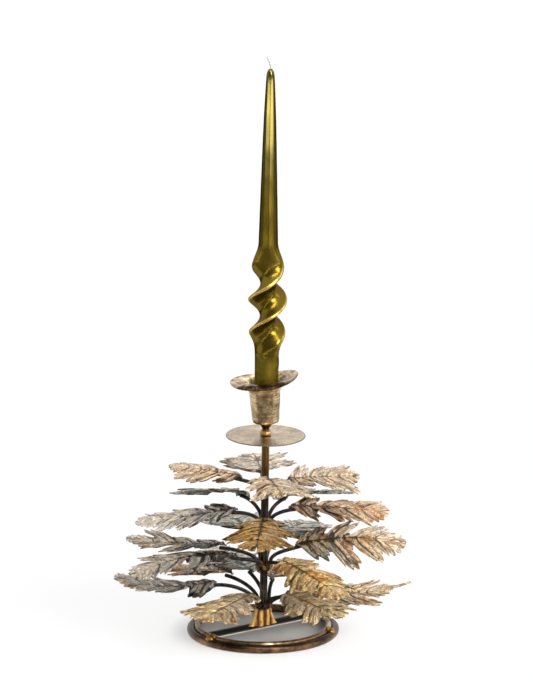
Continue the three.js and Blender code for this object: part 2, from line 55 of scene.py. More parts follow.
PAN_BOTTOM, PAN_TOP, PAN_RADIUS, PAN_HOLE = 190.0, 191.0, 37.0, 2.4
COLLAR_RADIUS, COLLAR_HEIGHT = 5.5, 6.0
NECK_BOTTOM, NECK_TOP, NECK_RADIUS, NECK_WAIST = 191.3, 202.8, 5.5, 3.2
SPIGOT_RADIUS, SPIGOT_BOTTOM = 2.1, 179.0
TENON_RADIUS, RIVET_BOTTOM, RIVET_TOP, RIVET_RADIUS = 2.3, 205.11, 206.41, 4.2
CUP_BOTTOM, CUP_TILT_DEG, CUP_FLOOR, CUP_WALL = 203.39, 3.0, 1.2, 1.0
CUP_BODY, CUP_FLARE, CUP_BOTTOM_INNER, CUP_TOP_INNER, CUP_HOLE = 28.0, 12.0, 11.6, 13.37, 2.9
RIM_RADIUS, RIM_SIDE_RISE, RIM_SADDLE, RIM_CURL = 31.5, 2.8, 1.7, 4.5
CANDLE_RADIUS, CANDLE_BOTTOM, TWIST_BOTTOM, TAPER_BOTTOM, CANDLE_TOP = 11.0, 206.71, 263.71, 371.71, 539.71
TWIST_PITCH, TWIST_HALF_WIDTH, TWIST_HALF_THICKNESS, TWIST_TOP, TWIST_EASE = 62.0, 18.0, 6.9, 351.7, 6.0
TAPER_FOOT, TAPER_TIP = 9.1, 3.8
WICK_RADIUS, WICK_HOLE, WICK_FREE, WICK_BEND = 0.7, 1.1, 10.5, 3.8

LEAN = Matrix.Rotation(math.radians(LEAN_DEG), 4, "Y")
HOLDER, CANDLE = "holder", "candle"
WHITE, BLACK = (1.0, 1.0, 1.0, 1.0), (0.0, 0.0, 0.0, 1.0)


def rad(degrees):
    return math.radians(degrees)


def mix(a, b, share):
    return a + (b - a) * share


def smooth(x, low, high):
    t = min(1.0, max(0.0, (x - low) / (high - low)))
    return t * t * (3.0 - 2.0 * t)


def shares(steps):
    """Equal steps from 0 to 1."""
    return [i / steps for i in range(steps + 1)]


def polar(radius, angle, height=0.0):
    return Vector((radius * math.cos(angle), radius * math.sin(angle), height))


def fall(x, low, high):
    """1 below low, 0 above high, eased at both ends."""
    return smooth(-x, -high, -low)


def tone(red, green, blue):
    """A screen colour, 0 to 255, as linear light."""
    def linear(c):
        c /= 255.0
        return c / 12.92 if c <= 0.04045 else ((c + 0.055) / 1.055) ** 2.4
    return (linear(red), linear(green), linear(blue), 1.0)


def scaled(colour, factor, most=0.95):
    """A colour made darker, or lighter short of white, with its hue kept."""
    factor = min(factor, most / max(colour[:3]))
    return tuple(factor * c for c in colour[:3]) + (1.0,)


# Finishes: each is a material whose node maths is written as expressions

class Value:
    """A socket of a finish. Arithmetic on it adds Math nodes."""

    def __init__(self, finish, socket):
        self.finish = finish
        self.socket = socket

    def math(self, operation, *others):
        sockets = dict(enumerate((self,) + others))
        return self.finish.add("ShaderNodeMath", {"operation": operation}, sockets)

    def __add__(self, other):
        return self.math("ADD", other)

    def __mul__(self, other):
        return self.math("MULTIPLY", other)

    def __sub__(self, other):
        return self.math("SUBTRACT", other)

    def __rsub__(self, other):
        return self.math("MULTIPLY", -1.0) + other

    __radd__ = __add__
    __rmul__ = __mul__

    def sine(self):
        return self.math("SINE")

    def size(self):
        return self.math("ABSOLUTE")

    def between(self, low, high):
        """0 at low, 1 at high, eased at both ends."""
        settings = {"interpolation_type": "SMOOTHSTEP"}
        sockets = {"Value": self, "From Min": low, "From Max": high}
        return self.finish.add("ShaderNodeMapRange", settings, sockets)

    def greatest(self, other):
        return self.math("MAXIMUM", other)


class Finish:
    """A material, or the world, and the tree behind it."""

    def __init__(self, name, world=None):
        self.material = world or bpy.data.materials.new(name)
        self.material.use_nodes = True
        self.tree = self.material.node_tree
        self.tree.nodes.clear()

    def add(self, kind, settings=None, sockets=None, output=0):
        node = self.tree.nodes.new(kind)
        for key, value in (settings or {}).items():
            setattr(node, key, value)
        for key, value in (sockets or {}).items():
            if isinstance(value, Value):
                self.tree.links.new(value.socket, node.inputs[key])
            else:
                node.inputs[key].default_value = value
        return Value(self, node.outputs[output]) if node.outputs else None

    def place(self, stretch=(1.0, 1.0, 1.0)):
        """Where the point lies on the object, in metres, stretched for grain."""
        spot = self.add("ShaderNodeTexCoord", output="Object")
        if stretch == (1.0, 1.0, 1.0):
            return spot
        return self.add("ShaderNodeMapping", None, {"Vector": spot, "Scale": stretch})

    def height(self):
        """How far up the object the point lies, in metres."""
        return self.add("ShaderNodeSeparateXYZ", None, {0: self.place()}, "Z")

    def noise(self, scale, detail=3.0, rough=0.6, stretch=(1.0, 1.0, 1.0), seed=0.0, spot=None):
        settings = {"noise_dimensions": "4D"}
        sockets = {"Vector": spot or self.place(stretch), "W": seed}
        sockets.update({"Scale": scale, "Detail": detail, "Roughness": rough})
        return self.add("ShaderNodeTexNoise", settings, sockets)

    def seen(self):
        """1 for what the camera sees, straight or through a mirror."""
        kinds = ("Camera", "Glossy", "Transmission")
        rays = [self.add("ShaderNodeLightPath", None, None, f"Is {kind} Ray") for kind in kinds]
        return rays[0].greatest(rays[1]).greatest(rays[2])

    def outwards(self):
        """How far the point lies from the object's middle, in metres."""
        return self.add("ShaderNodeVectorMath", {"operation": "LENGTH"}, {0: self.place()}, "Value")

    def mark(self, name):
        """A number kept on the mesh's points."""
        return self.add("ShaderNodeAttribute", {"attribute_name": name}, None, "Fac")

    def blend(self, share, first, second):
        settings = {"data_type": "RGBA", "clamp_factor": True}
        return self.add("ShaderNodeMix", settings, {0: share, 6: first, 7: second}, 2)

    def base(self, share, dark, light):
        """The first coat of colour."""
        self.colour = self.blend(share, dark, light)

    def over(self, share, colour):
        """A further coat, which covers as much as share says."""
        self.colour = self.blend(share, self.colour, colour)

    def glowing(self, colour, strength=1.0):
        """Ends the tree as a surface that gives light and takes none."""
        light = self.add("ShaderNodeEmission", None, {"Color": colour, "Strength": strength})
        self.add("ShaderNodeOutputMaterial", None, {"Surface": light})
        return self.material

    def done(self, **sockets):
        """Ends the tree as a plain surface; the names are the shader's sockets in small letters."""
        named = {key.replace("_", " ").title().replace("Ior", "IOR"): value for key, value in sockets.items()}
        shader = self.add("ShaderNodeBsdfPrincipled", None, named)
        self.add("ShaderNodeOutputMaterial", None, {"Surface": shader})
        return self.material

    def coated(self, height, depth_mm, **sockets):
        """Ends the tree with the coats laid on so far, over a bump of the depth given."""
        relief = {"Height": height, "Distance": depth_mm * MM, "Strength": 1.0}
        return self.done(base_color=self.colour, normal=self.add("ShaderNodeBump", None, relief), **sockets)


def leaf_finish(name, tint, seed):
    """Stamped sheet: pillows painted pale as highlight, dark veins, mottled patina, heat stains, painted
    shade inwards.
    """
    light, deep, warm = (tone(*colour) for colour in (tint.light, tint.deep, tint.warm))
    leaf = Finish(name)
    rib, reach, relief = leaf.mark("rib"), leaf.mark("reach"), leaf.mark("relief")
    cloud = leaf.noise(34.0, seed=seed)
    cool = leaf.noise(26.0, 2.0, 0.5, seed=seed + 5.0)
    grain = leaf.noise(480.0, 4.0, 0.7, seed=seed + 3.0)
    stain = leaf.noise(60.0, seed=seed + 7.0)
    crease = leaf.noise(120.0, seed=seed + 9.0)
    along_ribs = {0: rib * 6.2 + cloud * 1.6, 1: reach * 1.1, 2: cloud * 2.0}
    grid = leaf.add("ShaderNodeCombineXYZ", None, along_ribs)
    streak = leaf.noise(2.2, 4.0, 0.65, seed=seed, spot=grid)
    # lit: random streaks, grain, clouds and creases, plus painted highlight on the raised ridges from relief
    lit = relief * 0.7 + (streak - 0.5) * 1.7 + (grain - 0.5) * 0.8
    lit = lit + (cloud - 0.5) * 1.1 + (crease - 0.5) * 1.2
    # Painted shade: darker towards the stem and lighter towards the tip, as far as the tint's shade says
    lit = lit - (leaf.mark("inner") - 0.45) * tint.shade
    leaf.base(lit.between(0.02, 0.24), scaled(deep, 0.28), scaled(light, 1.18))
    ash = scaled((0.97, 1.0, 0.86), 0.8 * sum(light[:3]) / 3.0)
    leaf.over(cool.between(0.5, 0.68) * tint.ash, ash)
    leaf.over(stain.between(tint.warm_from, tint.warm_from + 0.14) * 0.75, warm)
    # Painted highlight: near white where clouds meet the raised ridges
    pale = tuple(mix(c, 1.0, 0.45) for c in light[:3]) + (1.0,)
    leaf.over((cloud.between(0.48, 0.64) * relief.between(0.3, 0.8)) * 0.75, pale)
    spine = 1.0 - reach.between(0.012, 0.055)
    veins = (rib - 0.5 + (crease - 0.5) * 0.08).size()
    rays = (1.0 - veins.between(0.012, 0.04)) * (1.0 - reach.between(0.7, 0.95)) * 0.9
    folds = (1.0 - (crease - 0.5).size().between(0.006, 0.04)) * reach.between(0.2, 0.5) * 0.55
    lines = (1.0 - (streak - 0.47).size().between(0.01, 0.055)) * reach.between(0.1, 0.3) * 0.72
    groove = spine.greatest(rays).greatest(folds.greatest(lines)) * (grain * 0.7 + 0.55)
    leaf.over(groove * 0.95, scaled(deep, 0.1))
    leaf.over(leaf.mark("root") * 0.9, tone(44, 38, 33))
    roughness = 0.3 + grain * 0.16 - relief * 0.06
    height = grain * 0.4 + crease * 0.5 + streak * 1.0 - groove * 0.7
    return leaf.coated(metallic=tint.metal, roughness=roughness, height=height, depth_mm=1.7)


def ring_finish(name, dark, light, worn, grain_scale, seed, soot):
    """Bent rod: mill scale, brown heat colours and bright worn patches."""
    rod = Finish(name)
    scale = rod.noise(90.0, 4.0, 0.65, seed=seed)
    speck = rod.noise(grain_scale, seed=seed + 2.0)
    patch = rod.noise(38.0, 2.0, 0.5, seed=seed + 5.0)
    rod.base((scale * 0.7 + speck * 0.3).between(0.36, 0.66), dark, light)
    rod.over(patch.between(0.54, 0.7) * 0.75, worn)
    rod.over(speck.between(0.6, 0.74) * 0.6, tone(52, 40, 30))
    rod.over(rod.mark("along") * (scale * 0.5 + 0.75) * soot, tone(16, 11, 8))
    roughness = 0.2 + scale * 0.3
    height = speck * 0.6 + scale * 0.4
    return rod.coated(metallic=0.9, roughness=roughness, height=height, depth_mm=0.3)


def rod_finish(name):
    """Blackened rod, with braze drawn up from its root."""
    rod = Finish(name)
    along = rod.mark("along")
    scale = rod.noise(170.0, 4.0, 0.6)
    patch = rod.noise(60.0, 2.0, 0.5, seed=4.0)
    rod.base(scale.between(0.35, 0.7), tone(26, 25, 26), tone(66, 61, 56))
    rod.over(patch.between(0.56, 0.7) * 0.45, tone(92, 74, 52))
    wash = (1.0 - along.between(0.02, 0.22)) * scale.between(0.38, 0.58)
    rod.over(wash * 0.8, tone(150, 108, 46))
    roughness = 0.36 + scale * 0.25
    return rod.coated(metallic=0.8, roughness=roughness, height=scale, depth_mm=0.2)


def braze_finish(name, gold, brown, black, flux_from):
    """Run brass: golden beads, brown heat and black flux between them."""
    braze = Finish(name)
    lump = braze.noise(150.0)
    flux = braze.noise(95.0, seed=3.0)
    speck = braze.noise(600.0, seed=6.0)
    braze.base(lump.between(0.4, 0.62), brown, gold)
    braze.over(flux.between(flux_from, flux_from + 0.12), black)
    braze.over(speck.between(0.62, 0.75) * 0.5, tone(228, 196, 128))
    braze.over(braze.mark("along") * 0.85, black)
    roughness = 0.24 + lump * 0.25
    height = lump * 0.7 + speck * 0.3
    return braze.coated(metallic=0.92, roughness=roughness, height=height, depth_mm=0.5)


def foot_finish():
    """The flared foot: brass streaked down its ridges with painted highlight, painted shade between, black
    round the tube.
    """
    foot = Finish("foot_braze")
    up = foot.mark("along")
    streak = foot.noise(260.0, stretch=(1.0, 1.0, 0.22))
    lump = foot.noise(120.0, seed=2.0)
    ridge = foot.mark("relief")
    # Painted highlight on the roots' ridges and painted shade in the hollows, with random streaks
    bright = (streak * 0.45 + ridge * 0.6).between(0.34, 0.72)
    foot.base(bright, tone(128, 72, 24), tone(255, 206, 116))
    foot.over(lump.between(0.56, 0.68) * 0.7, tone(46, 30, 16))
    foot.over((up + (lump - 0.5) * 0.4).between(0.74, 0.95), tone(20, 17, 15))
    roughness = 0.26 + lump * 0.22
    height = streak * 0.6 + lump * 0.4
    return foot.coated(metallic=0.4, roughness=roughness, height=height, depth_mm=0.7)


def tube_finish():
    """Drawn tube: dark, with fine draw lines and a brown painted reflection of the leaves at its top."""
    tube = Finish("drawn_tube")
    along = tube.mark("along")
    draw = tube.noise(900.0, 2.0, 0.5, stretch=(1.0, 1.0, 0.03))
    cloud = tube.noise(45.0, seed=2.0)
    tube.base(cloud.between(0.35, 0.7), tone(32, 29, 25), tone(80, 70, 56))
    # Painted reflection of the golden leaves: browner towards the top
    tube.over(along.between(0.68, 0.92) * 0.8, tone(126, 94, 56))
    tube.over(draw.between(0.55, 0.7) * 0.4, tone(38, 36, 33))
    roughness = 0.14 + cloud * 0.14
    return tube.coated(metallic=0.92, roughness=roughness, height=draw, depth_mm=0.12)


def strip_finish():
    """Flat strip: black scale with a red-brown bloom, and painted highlights along its edges and ends."""
    strip = Finish("strip_scale")
    cut = strip.mark("along")
    scale = strip.noise(140.0, 4.0, 0.6)
    bloom = strip.noise(48.0, 2.0, 0.5, seed=5.0)
    strip.base(scale.between(0.35, 0.7), tone(5, 4, 4), tone(22, 17, 15))
    strip.over(bloom.between(0.5, 0.68) * 0.5, tone(44, 28, 21))
    # Painted highlight along the edges and ends
    strip.over(cut * (scale * 0.5 + 0.7), tone(196, 188, 177))
    roughness = 0.45 + scale * 0.3
    return strip.coated(metallic=0.0, specular_ior_level=0.03, roughness=roughness,
                        height=scale, depth_mm=0.25)


def pan_finish():
    """Spun disc: pale brass with fine turning lines and brown specks, stained at the rim."""
    pan = Finish("pan_brass")
    out = pan.mark("along")
    cloud = pan.noise(60.0)
    speck = pan.noise(330.0, seed=3.0)
    spot = pan.noise(120.0, seed=6.0)
    lines = (out * 620.0 + cloud * 5.0).sine() * 0.5 + 0.5
    pan.base(cloud.between(0.34, 0.7), tone(143, 122, 94), tone(182, 163, 134))
    pan.over(speck.between(0.54, 0.68) * 0.6, tone(122, 94, 62))
    pan.over(spot.between(0.56, 0.68) * 0.5, tone(150, 116, 76))
    pan.over(out.between(0.955, 0.995) * 0.85, tone(104, 76, 48))
    roughness = 0.13 + cloud * 0.12 + speck * 0.1
    height = lines * 0.2 + speck * 0.6 + spot * 0.4
    return pan.coated(metallic=0.95, roughness=roughness, height=height, depth_mm=0.1)


def cup_finish():
    """Beaten cup: pale brass under gold and brown clouds, fine turned lines, dark stains inside, painted
    shade in front.
    """
    cup = Finish("cup_brass")
    stain = cup.mark("along")
    cloud = cup.noise(75.0, 4.0, 0.65)
    spot = cup.noise(150.0, seed=4.0)
    speck = cup.noise(420.0, seed=8.0)
    lines = cup.noise(700.0, 2.0, 0.5, stretch=(0.04, 0.04, 1.0), seed=2.0)
    cup.base(cloud.between(0.34, 0.66), tone(120, 95, 62), tone(224, 196, 150))
    cup.over(lines.between(0.5, 0.62) * 0.55, tone(116, 92, 60))
    cup.over(spot.between(0.54, 0.7) * 0.75, tone(96, 64, 34))
    cup.over(speck.between(0.6, 0.72) * 0.6, tone(246, 236, 214))
    # The along mark: stains inside, and at the flare's front partly burn, partly painted shade and reflection
    # of the candle
    cup.over((stain + (spot - 0.5) * 2.0).between(0.25, 0.95) * 0.9, tone(66, 43, 24))
    cup.over((stain + (spot - 0.5) * 1.2).between(0.75, 1.1) * 0.9, tone(36, 18, 9))
    roughness = 0.13 + cloud * 0.14 + speck * 0.1
    height = cloud * 0.5 + spot * 0.3 + speck * 0.2 + lines * 0.25
    return cup.coated(metallic=0.95, roughness=roughness, height=height, depth_mm=0.4)


def neck_finish():
    """Turned neck: bright on its ball, black in the waist and under the cup."""
    neck = Finish("neck_bronze")
    dark = neck.mark("along")
    cloud = neck.noise(220.0)
    neck.base(cloud.between(0.36, 0.66), tone(168, 122, 66), tone(226, 190, 132))
    neck.over(dark * (cloud * 0.5 + 0.7), tone(30, 20, 13))
    roughness = 0.22 + cloud * 0.2
    return neck.coated(metallic=0.92, roughness=roughness, height=cloud, depth_mm=0.2)


def wax_finish():
    """Dipped wax under gold lacquer: soft runs, a dull, scuffed foot, and painted shade and highlight on the
    twist.
    """
    wax = Finish("gold_wax")
    foot = wax.mark("along")
    run = wax.noise(110.0, 2.0, 0.5, stretch=(1.0, 1.0, 0.12))
    cloud = wax.noise(45.0, 3.0, 0.55, seed=2.0)
    scuff = wax.noise(420.0, stretch=(1.0, 1.0, 0.6), seed=5.0)
    crest, flat = wax.mark("relief"), wax.mark("flat")
    wax.base(cloud.between(0.34, 0.7), tone(104, 86, 22), tone(120, 101, 30))
    wax.over(run.between(0.52, 0.7) * 0.25, tone(112, 89, 6))
    # Painted shade across the middle of the twist's flat faces
    wax.over((1.0 - crest.between(0.0, 0.5)) * 0.3, tone(100, 76, 10))
    # Painted highlight along the twist's edges
    wax.over(crest.between(0.76, 0.97) * 0.75, tone(222, 192, 100))
    upper = wax.height().between(0.41, 0.48)
    wax.over(upper * 0.85, tone(100, 89, 32))
    dull = wax.blend(scuff.between(0.35, 0.68), tone(108, 92, 24), tone(124, 107, 36))
    wax.over(foot * 0.9, dull)
    roughness = 0.1 - upper * 0.04 + cloud * 0.04 + flat * 0.12 + foot * (scuff * 0.1 + 0.34)
    height = run * 0.03 + cloud * 0.03 + foot * scuff * 0.08
    coat = 0.14 + upper * 0.26
    return wax.coated(metallic=0.95, roughness=roughness, height=height, depth_mm=0.2,
                      specular_tint=(0.4, 0.36, 0.12, 1.0), coat_weight=coat, coat_roughness=0.12)


def cotton_finish():
    """Plaited cotton: pale strands with darker gaps between them."""
    wick = Finish("wick_cotton")
    along = wick.mark("along")
    plait = (along * 420.0 + wick.noise(600.0, 2.0, 0.55) * 3.0).sine() * 0.5 + 0.5
    wick.base(plait, tone(206, 203, 196), tone(244, 242, 238))
    return wick.coated(metallic=0.0, roughness=0.9, height=plait, depth_mm=0.3)


# Meshes

def skin(rings, wrap=False):
    """Faces over rings of equal count: joined end to end, or closed by a cap at both ends."""
    count = len(rings[0])
    points = [point for level in rings for point in level]
    faces = []
    for i in range(len(rings) if wrap else len(rings) - 1):
        low, high = i * count, (i + 1) % len(rings) * count
        for j in range(count):
            after = (j + 1) % count
            faces.append((low + j, low + after, high + after, high + j))
    if not wrap:
        top = (len(rings) - 1) * count
        faces.append(tuple(range(count - 1, -1, -1)))
        faces.append(tuple(range(top, top + count)))
    return points, faces


def around(count):
    """Equal angles round a full turn."""
    return [2.0 * math.pi * i / count for i in range(count)]


def ring(sides, radius, height):
    """A level ring of points; radius and height may be functions of the angle."""
    points = []
    for angle in around(sides):
        r = radius(angle) if callable(radius) else radius
        z = height(angle) if callable(height) else height
        points.append(polar(r, angle, z))
    return points


def tube_rings(path, radius, sides):
    """Rings round a path, without twist; radius is a function of the share along it."""
    rings, side = [], None
    for i, point in enumerate(path):
        along = (path[min(i + 1, len(path) - 1)] - path[max(i - 1, 0)]).normalized()
        if side is None:
            side = along.orthogonal().normalized()
        side = (side - along * side.dot(along)).normalized()
        other = along.cross(side)
        r = radius(i / (len(path) - 1))
        rings.append([point + (side * math.cos(a) + other * math.sin(a)) * r for a in around(sides)])
    return rings


def shares_along(rings):
    """For every point, how far along the rings it lies."""
    return [i / (len(rings) - 1) for i, points in enumerate(rings) for _ in points]


def placed(name, data):
    """A new object in the scene."""
    obj = bpy.data.objects.new(name, data)
    bpy.context.scene.collection.objects.link(obj)
    return obj


def piece(name, shape, finish, nodes, body=HOLDER, lean=True, marks=None, sharp_deg=38.0):
    """A mesh of the object: rides on its body and stands for its solids."""
    points, faces = shape
    mesh = bpy.data.meshes.new(name)
    place = LEAN if lean else Matrix.Identity(4)
    mesh.from_pydata([tuple(place @ p * MM) for p in points], [], faces)
    for mark, values in (marks or {}).items():
        mesh.attributes.new(mark, "FLOAT", "POINT").data.foreach_set("value", values)
    mesh.shade_smooth()
    mesh.set_sharp_from_angle(angle=rad(sharp_deg))
    mesh.materials.append(finish)
    mesh.validate()
    mesh.update()
    obj = placed(name, mesh)
    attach(obj, body)
    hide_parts(*nodes)


def rough(point, scale, depth):
    """A smooth uneven offset at a point, within plus or minus depth."""
    return depth * noise.noise(point * scale)


# Leaves

# Lobe: where it starts and ends along the midrib, its size, and its lean in degrees
LOBES = [(0.08, 0.27, 0.7, 20.0), (0.27, 0.48, 1.0, 26.0), (0.48, 0.68, 0.92, 31.0)]
# The end lobe's edge from its shoulder to the tip, along and across, as shares of the length
END_LOBE = [(0.76, 0.1), (0.84, 0.165), (0.91, 0.165), (0.965, 0.11), (1.0, 0.007)]
END_ROOT, END_SCALLOPS, END_CUT = 0.86, 5, 1.2
END_PULL, END_EASE, END_RIB_SHARE = (0.45, 1.04), (-0.05, 0.2), (0.25, 1.0)

# What each lobe draws at random
LOBE_SIZE, SINUS_REACH, LOBE_LIFT, END_LIFT = (0.97, 1.08), (0.23, 0.37), (-4.2, 3.6), (-1.6, 1.2)
NICK_SHIFT, NICK_COUNTS, LOBE_SWING_DEG, JAG_START = (-0.15, 0.15), (2, 3, 3, 4), (-7.0, 7.0), (0.0, 50.0)
LEAF_SEED, LEAF_SEED_STEP, LEAF_NOISE_STEP = 100, 11.0, 40.0

# How a lobe spreads from its sinuses, and how its edge is cut
LOBE_FAN_DEG, LOBE_STEPS, ACROSS = 19.0, 28, 8
LOBE_REACH, LOBE_ROUNDNESS, RIB_LEAN_DEG = 1.1, 0.46, (27.0, 45.0)
SINUS_FULL, SINUS_OPEN, SCALLOP_DEPTH, SCALLOP_ROUNDNESS = 0.05, 0.15, 0.29, 0.7
INNER_SINUS, INNER_GAP, INNER_RISE = 0.18, 0.5, 0.35
JAGS, JAG_DEPTH = 9.0, 0.24

# Drawn-out tip: shares along it, half width from root to end, run of its ribs, and their share of a lobe
TIP_SHARES, TIP_HALF_WIDTH, TIP_RIB_RUN, TIP_RIB_SHARE = (0.15, 0.35, 0.6, 0.8, 1.0), (0.9, 0.2), 0.5, 0.75

# Stamped relief: heights, and where it rises from the midrib and falls towards the edge
PILLOW, PLEAT, SPINE, PLEATS = 1.2, 0.95, 0.7, 4
FIELD_RISE, FIELD_FALL, SPINE_FALL = (0.02, 0.25), (0.7, 1.0), (0.0, 0.14)
# Unevenness, as scale and depth: of the veins, the ribs, the pleats, and the sheet itself
VEIN_SWAY, RIB_SWAY, PLEAT_SWAY = (0.05, 2.4), (0.07, 0.16), (0.05, 0.4)
BROAD_BUCKLE, FINE_BUCKLE, VEIN_BOW = (0.035, 1.2), (0.14, 0.9), 0.09
# Where the soot at the root fades, along and across, and the shares of the length where the painted shade
# does
SOOT_ALONG, SOOT_ACROSS, SHADE_FROM, SHADE_TO = (4.0, 18.0), (2.0, 7.0), 0.26, 0.92
# Cosines between which a leaf that points sideways gets its wider sinuses
SIDE_ON = (0.6, 0.9)
PETIOLE, PETIOLE_START, PETIOLE_DROP, PETIOLE_RUN = 1.6, 0.07, 1.8, 14.0
ROD_STEPS, ROD_SIDES, ROD_CUT = 22, 14, 0.35
# Marks on the leaves: relief carries the painted highlight, inner the painted shade towards the stem
LEAF_MARKS = ("rib", "reach", "relief", "root", "inner")
BRASS, GOLD, PEWTER = "leaf_brass", "leaf_gold", "leaf_pewter"

Leaf = namedtuple("Leaf", "tier spot azimuth reach rise length width pitch droop roll fold tip tint")
Tint = namedtuple("Tint", "light deep warm warm_from ash metal shade slot")

# Rows in the order of Leaf, in millimetres and degrees; tip is the length of a drawn-out tip
LEAVES = [Leaf(*row) for row in (
    (1, "front_left", -122, 14, 16, 98, 62, -3, 4, 2, 0, 0, "straw"),
    (1, "front_right", -50, 24, 19, 88, 66, -3.5, 2, 0, -2, 0, "straw"),
    (1, "right", 0, 22, 16.5, 100, 66, 1, -30, 2, 0, 17, "olive"),
    (1, "back_right", 74, 18, 19, 90, 60, -4, 4, 0, 0, 0, "beige"),
    (1, "back_left", 115, 18, 26, 104, 66, -2, 4, 0, 0, 0, "grey"),
    (1, "left_back", 150, 27, 26, 86, 66, -5, 4, 8, 0, 0, "tan"),
    (1, "left", 185, 37, 26, 105, 66, 2, -42, 0, 0, 0, "pewter"),
    (2, "front_right", -53, 20, 8.5, 99, 66, -8, 10, 0, -3, 0, "amber"),
    (2, "right", 2, 21, 15, 112, 68, 2, 26, 20, -12, 0, "olive"),
    (2, "back_right", 66, 16, 18, 94, 66, -4, 8, 0, 0, 0, "grey"),
    (2, "back_left", 112, 16, 22, 96, 66, -3, 8, 0, 0, 0, "grey"),
    (2, "left", 173, 28, 16, 102, 66, 0, -14, 2, 1, 0, "umber"),
    (2, "front_left", 203, 19, 8, 117, 66, -4, 32, 0, -3, 0, "pewter"),
    (3, "front", -94, 10, 7, 104, 66, -1.5, 6, 0, -3, 0, "gold"),
    (3, "right", -3, 15, 14.5, 101, 66, -2, 6, 8, -5, 0, "tan"),
    (3, "back_right", 50, 15, 20, 92, 66, -9, 2, -12, 0, 0, "grey"),
    (3, "back_left", 136, 17, 23, 90, 66, -10, 2, 12, 0, 0, "grey"),
    (3, "left", 188, 18, 14, 104, 66, -7, -8, -2, 0, 0, "smoke"),
    (4, "front", -79, 8, 12, 74, 66, 3, 5, 0, -3, 0, "rose"),
    (4, "right", 10, 15, 7, 74, 64, 0, 6, 10, -4, 0, "rose"),
    (4, "back", 97, 10, 8, 86, 70, -1, 4, 0, -3, 0, "cream"),
    (4, "left", 172, 16, 9, 75, 60, 6, 2, -3, -9, 0, "beige"),
)]

# Pale ridge (painted highlight), deep groove and heat stain as seen, the noise from which the stain shows,
# how ashen the clouds are, how bare the metal is, painted shade towards the stem, and the slot
TINTS = {
    "beige": Tint((250, 218, 180), (166, 132, 98), (220, 174, 112), 0.54, 0.2, 0.85, 0.25, BRASS),
    "straw": Tint((255, 224, 170), (224, 178, 124), (226, 172, 104), 0.53, 0.15, 0.25, 0.1, BRASS),
    "tan": Tint((242, 206, 166), (144, 108, 78), (200, 126, 66), 0.5, 0.4, 0.75, 0.4, BRASS),
    "rose": Tint((255, 226, 190), (228, 190, 150), (226, 178, 122), 0.53, 0.15, 0.35, 0.05, BRASS),
    "cream": Tint((252, 230, 204), (216, 194, 166), (220, 190, 136), 0.57, 0.4, 0.45, 0.1, BRASS),
    "grey": Tint((206, 200, 184), (126, 121, 108), (178, 156, 116), 0.6, 0.6, 0.85, 0.35, BRASS),
    "olive": Tint((242, 215, 175), (156, 128, 92), (206, 140, 78), 0.52, 0.5, 0.7, 0.4, BRASS),
    "smoke": Tint((224, 209, 190), (76, 73, 67), (206, 150, 110), 0.55, 0.6, 0.5, 0.5, BRASS),
    "gold": Tint((202, 160, 92), (82, 55, 24), (196, 132, 52), 0.5, 0.0, 0.8, 0.15, GOLD),
    "amber": Tint((244, 207, 140), (158, 112, 58), (208, 140, 62), 0.49, 0.1, 0.5, 0.15, GOLD),
    "umber": Tint((208, 192, 170), (60, 54, 47), (184, 142, 96), 0.54, 0.5, 0.65, 0.6, PEWTER),
    "pewter": Tint((208, 194, 174), (58, 54, 50), (190, 148, 100), 0.55, 0.5, 0.6, 0.6, PEWTER),
}


def leaf_surface(leaf):
    """The bent sheet as a function: u along the midrib, v across to the left, w out of the upper face."""
    turn, bend, start = rad(leaf.azimuth), rad(leaf.droop) / leaf.length, rad(leaf.pitch + leaf.droop / 2.0)
    forward = polar(1.0, turn)
    left = Vector((-math.sin(turn), math.cos(turn), 0.0))
    roll_c, roll_s = math.cos(rad(leaf.roll)), math.sin(rad(leaf.roll))
    fold_c, fold_s = math.cos(rad(leaf.fold)), math.sin(rad(leaf.fold))

    def at(u, v, w):
        slope = start - bend * u
        out = leaf.reach + (math.sin(start) - math.sin(slope)) / bend
        height = TIER_TOPS[leaf.tier] + leaf.rise + (math.cos(slope) - math.cos(start)) / bend
        across, lift = v * fold_c, abs(v) * fold_s + w
        sideways, normal = across * roll_c - lift * roll_s, across * roll_s + lift * roll_c
        point = forward * (out - normal * math.sin(slope)) + left * sideways
        point.z = height + normal * math.cos(slope)
        return point

    return at


def end_edge(share):
    """A point on the end lobe's edge, from its shoulder to the tip."""
    spot = share * (len(END_LOBE) - 1)
    i = min(int(spot), len(END_LOBE) - 2)
    f = spot - i
    return tuple(mix(a, b, f) for a, b in zip(END_LOBE[i], END_LOBE[i + 1]))


def scallop(share, count, shift=0.0):
    """1 in the nicks between scallops, 0 along their round backs."""
    return 1.0 - abs(math.sin(math.pi * (count * share + shift))) ** SCALLOP_ROUNDNESS


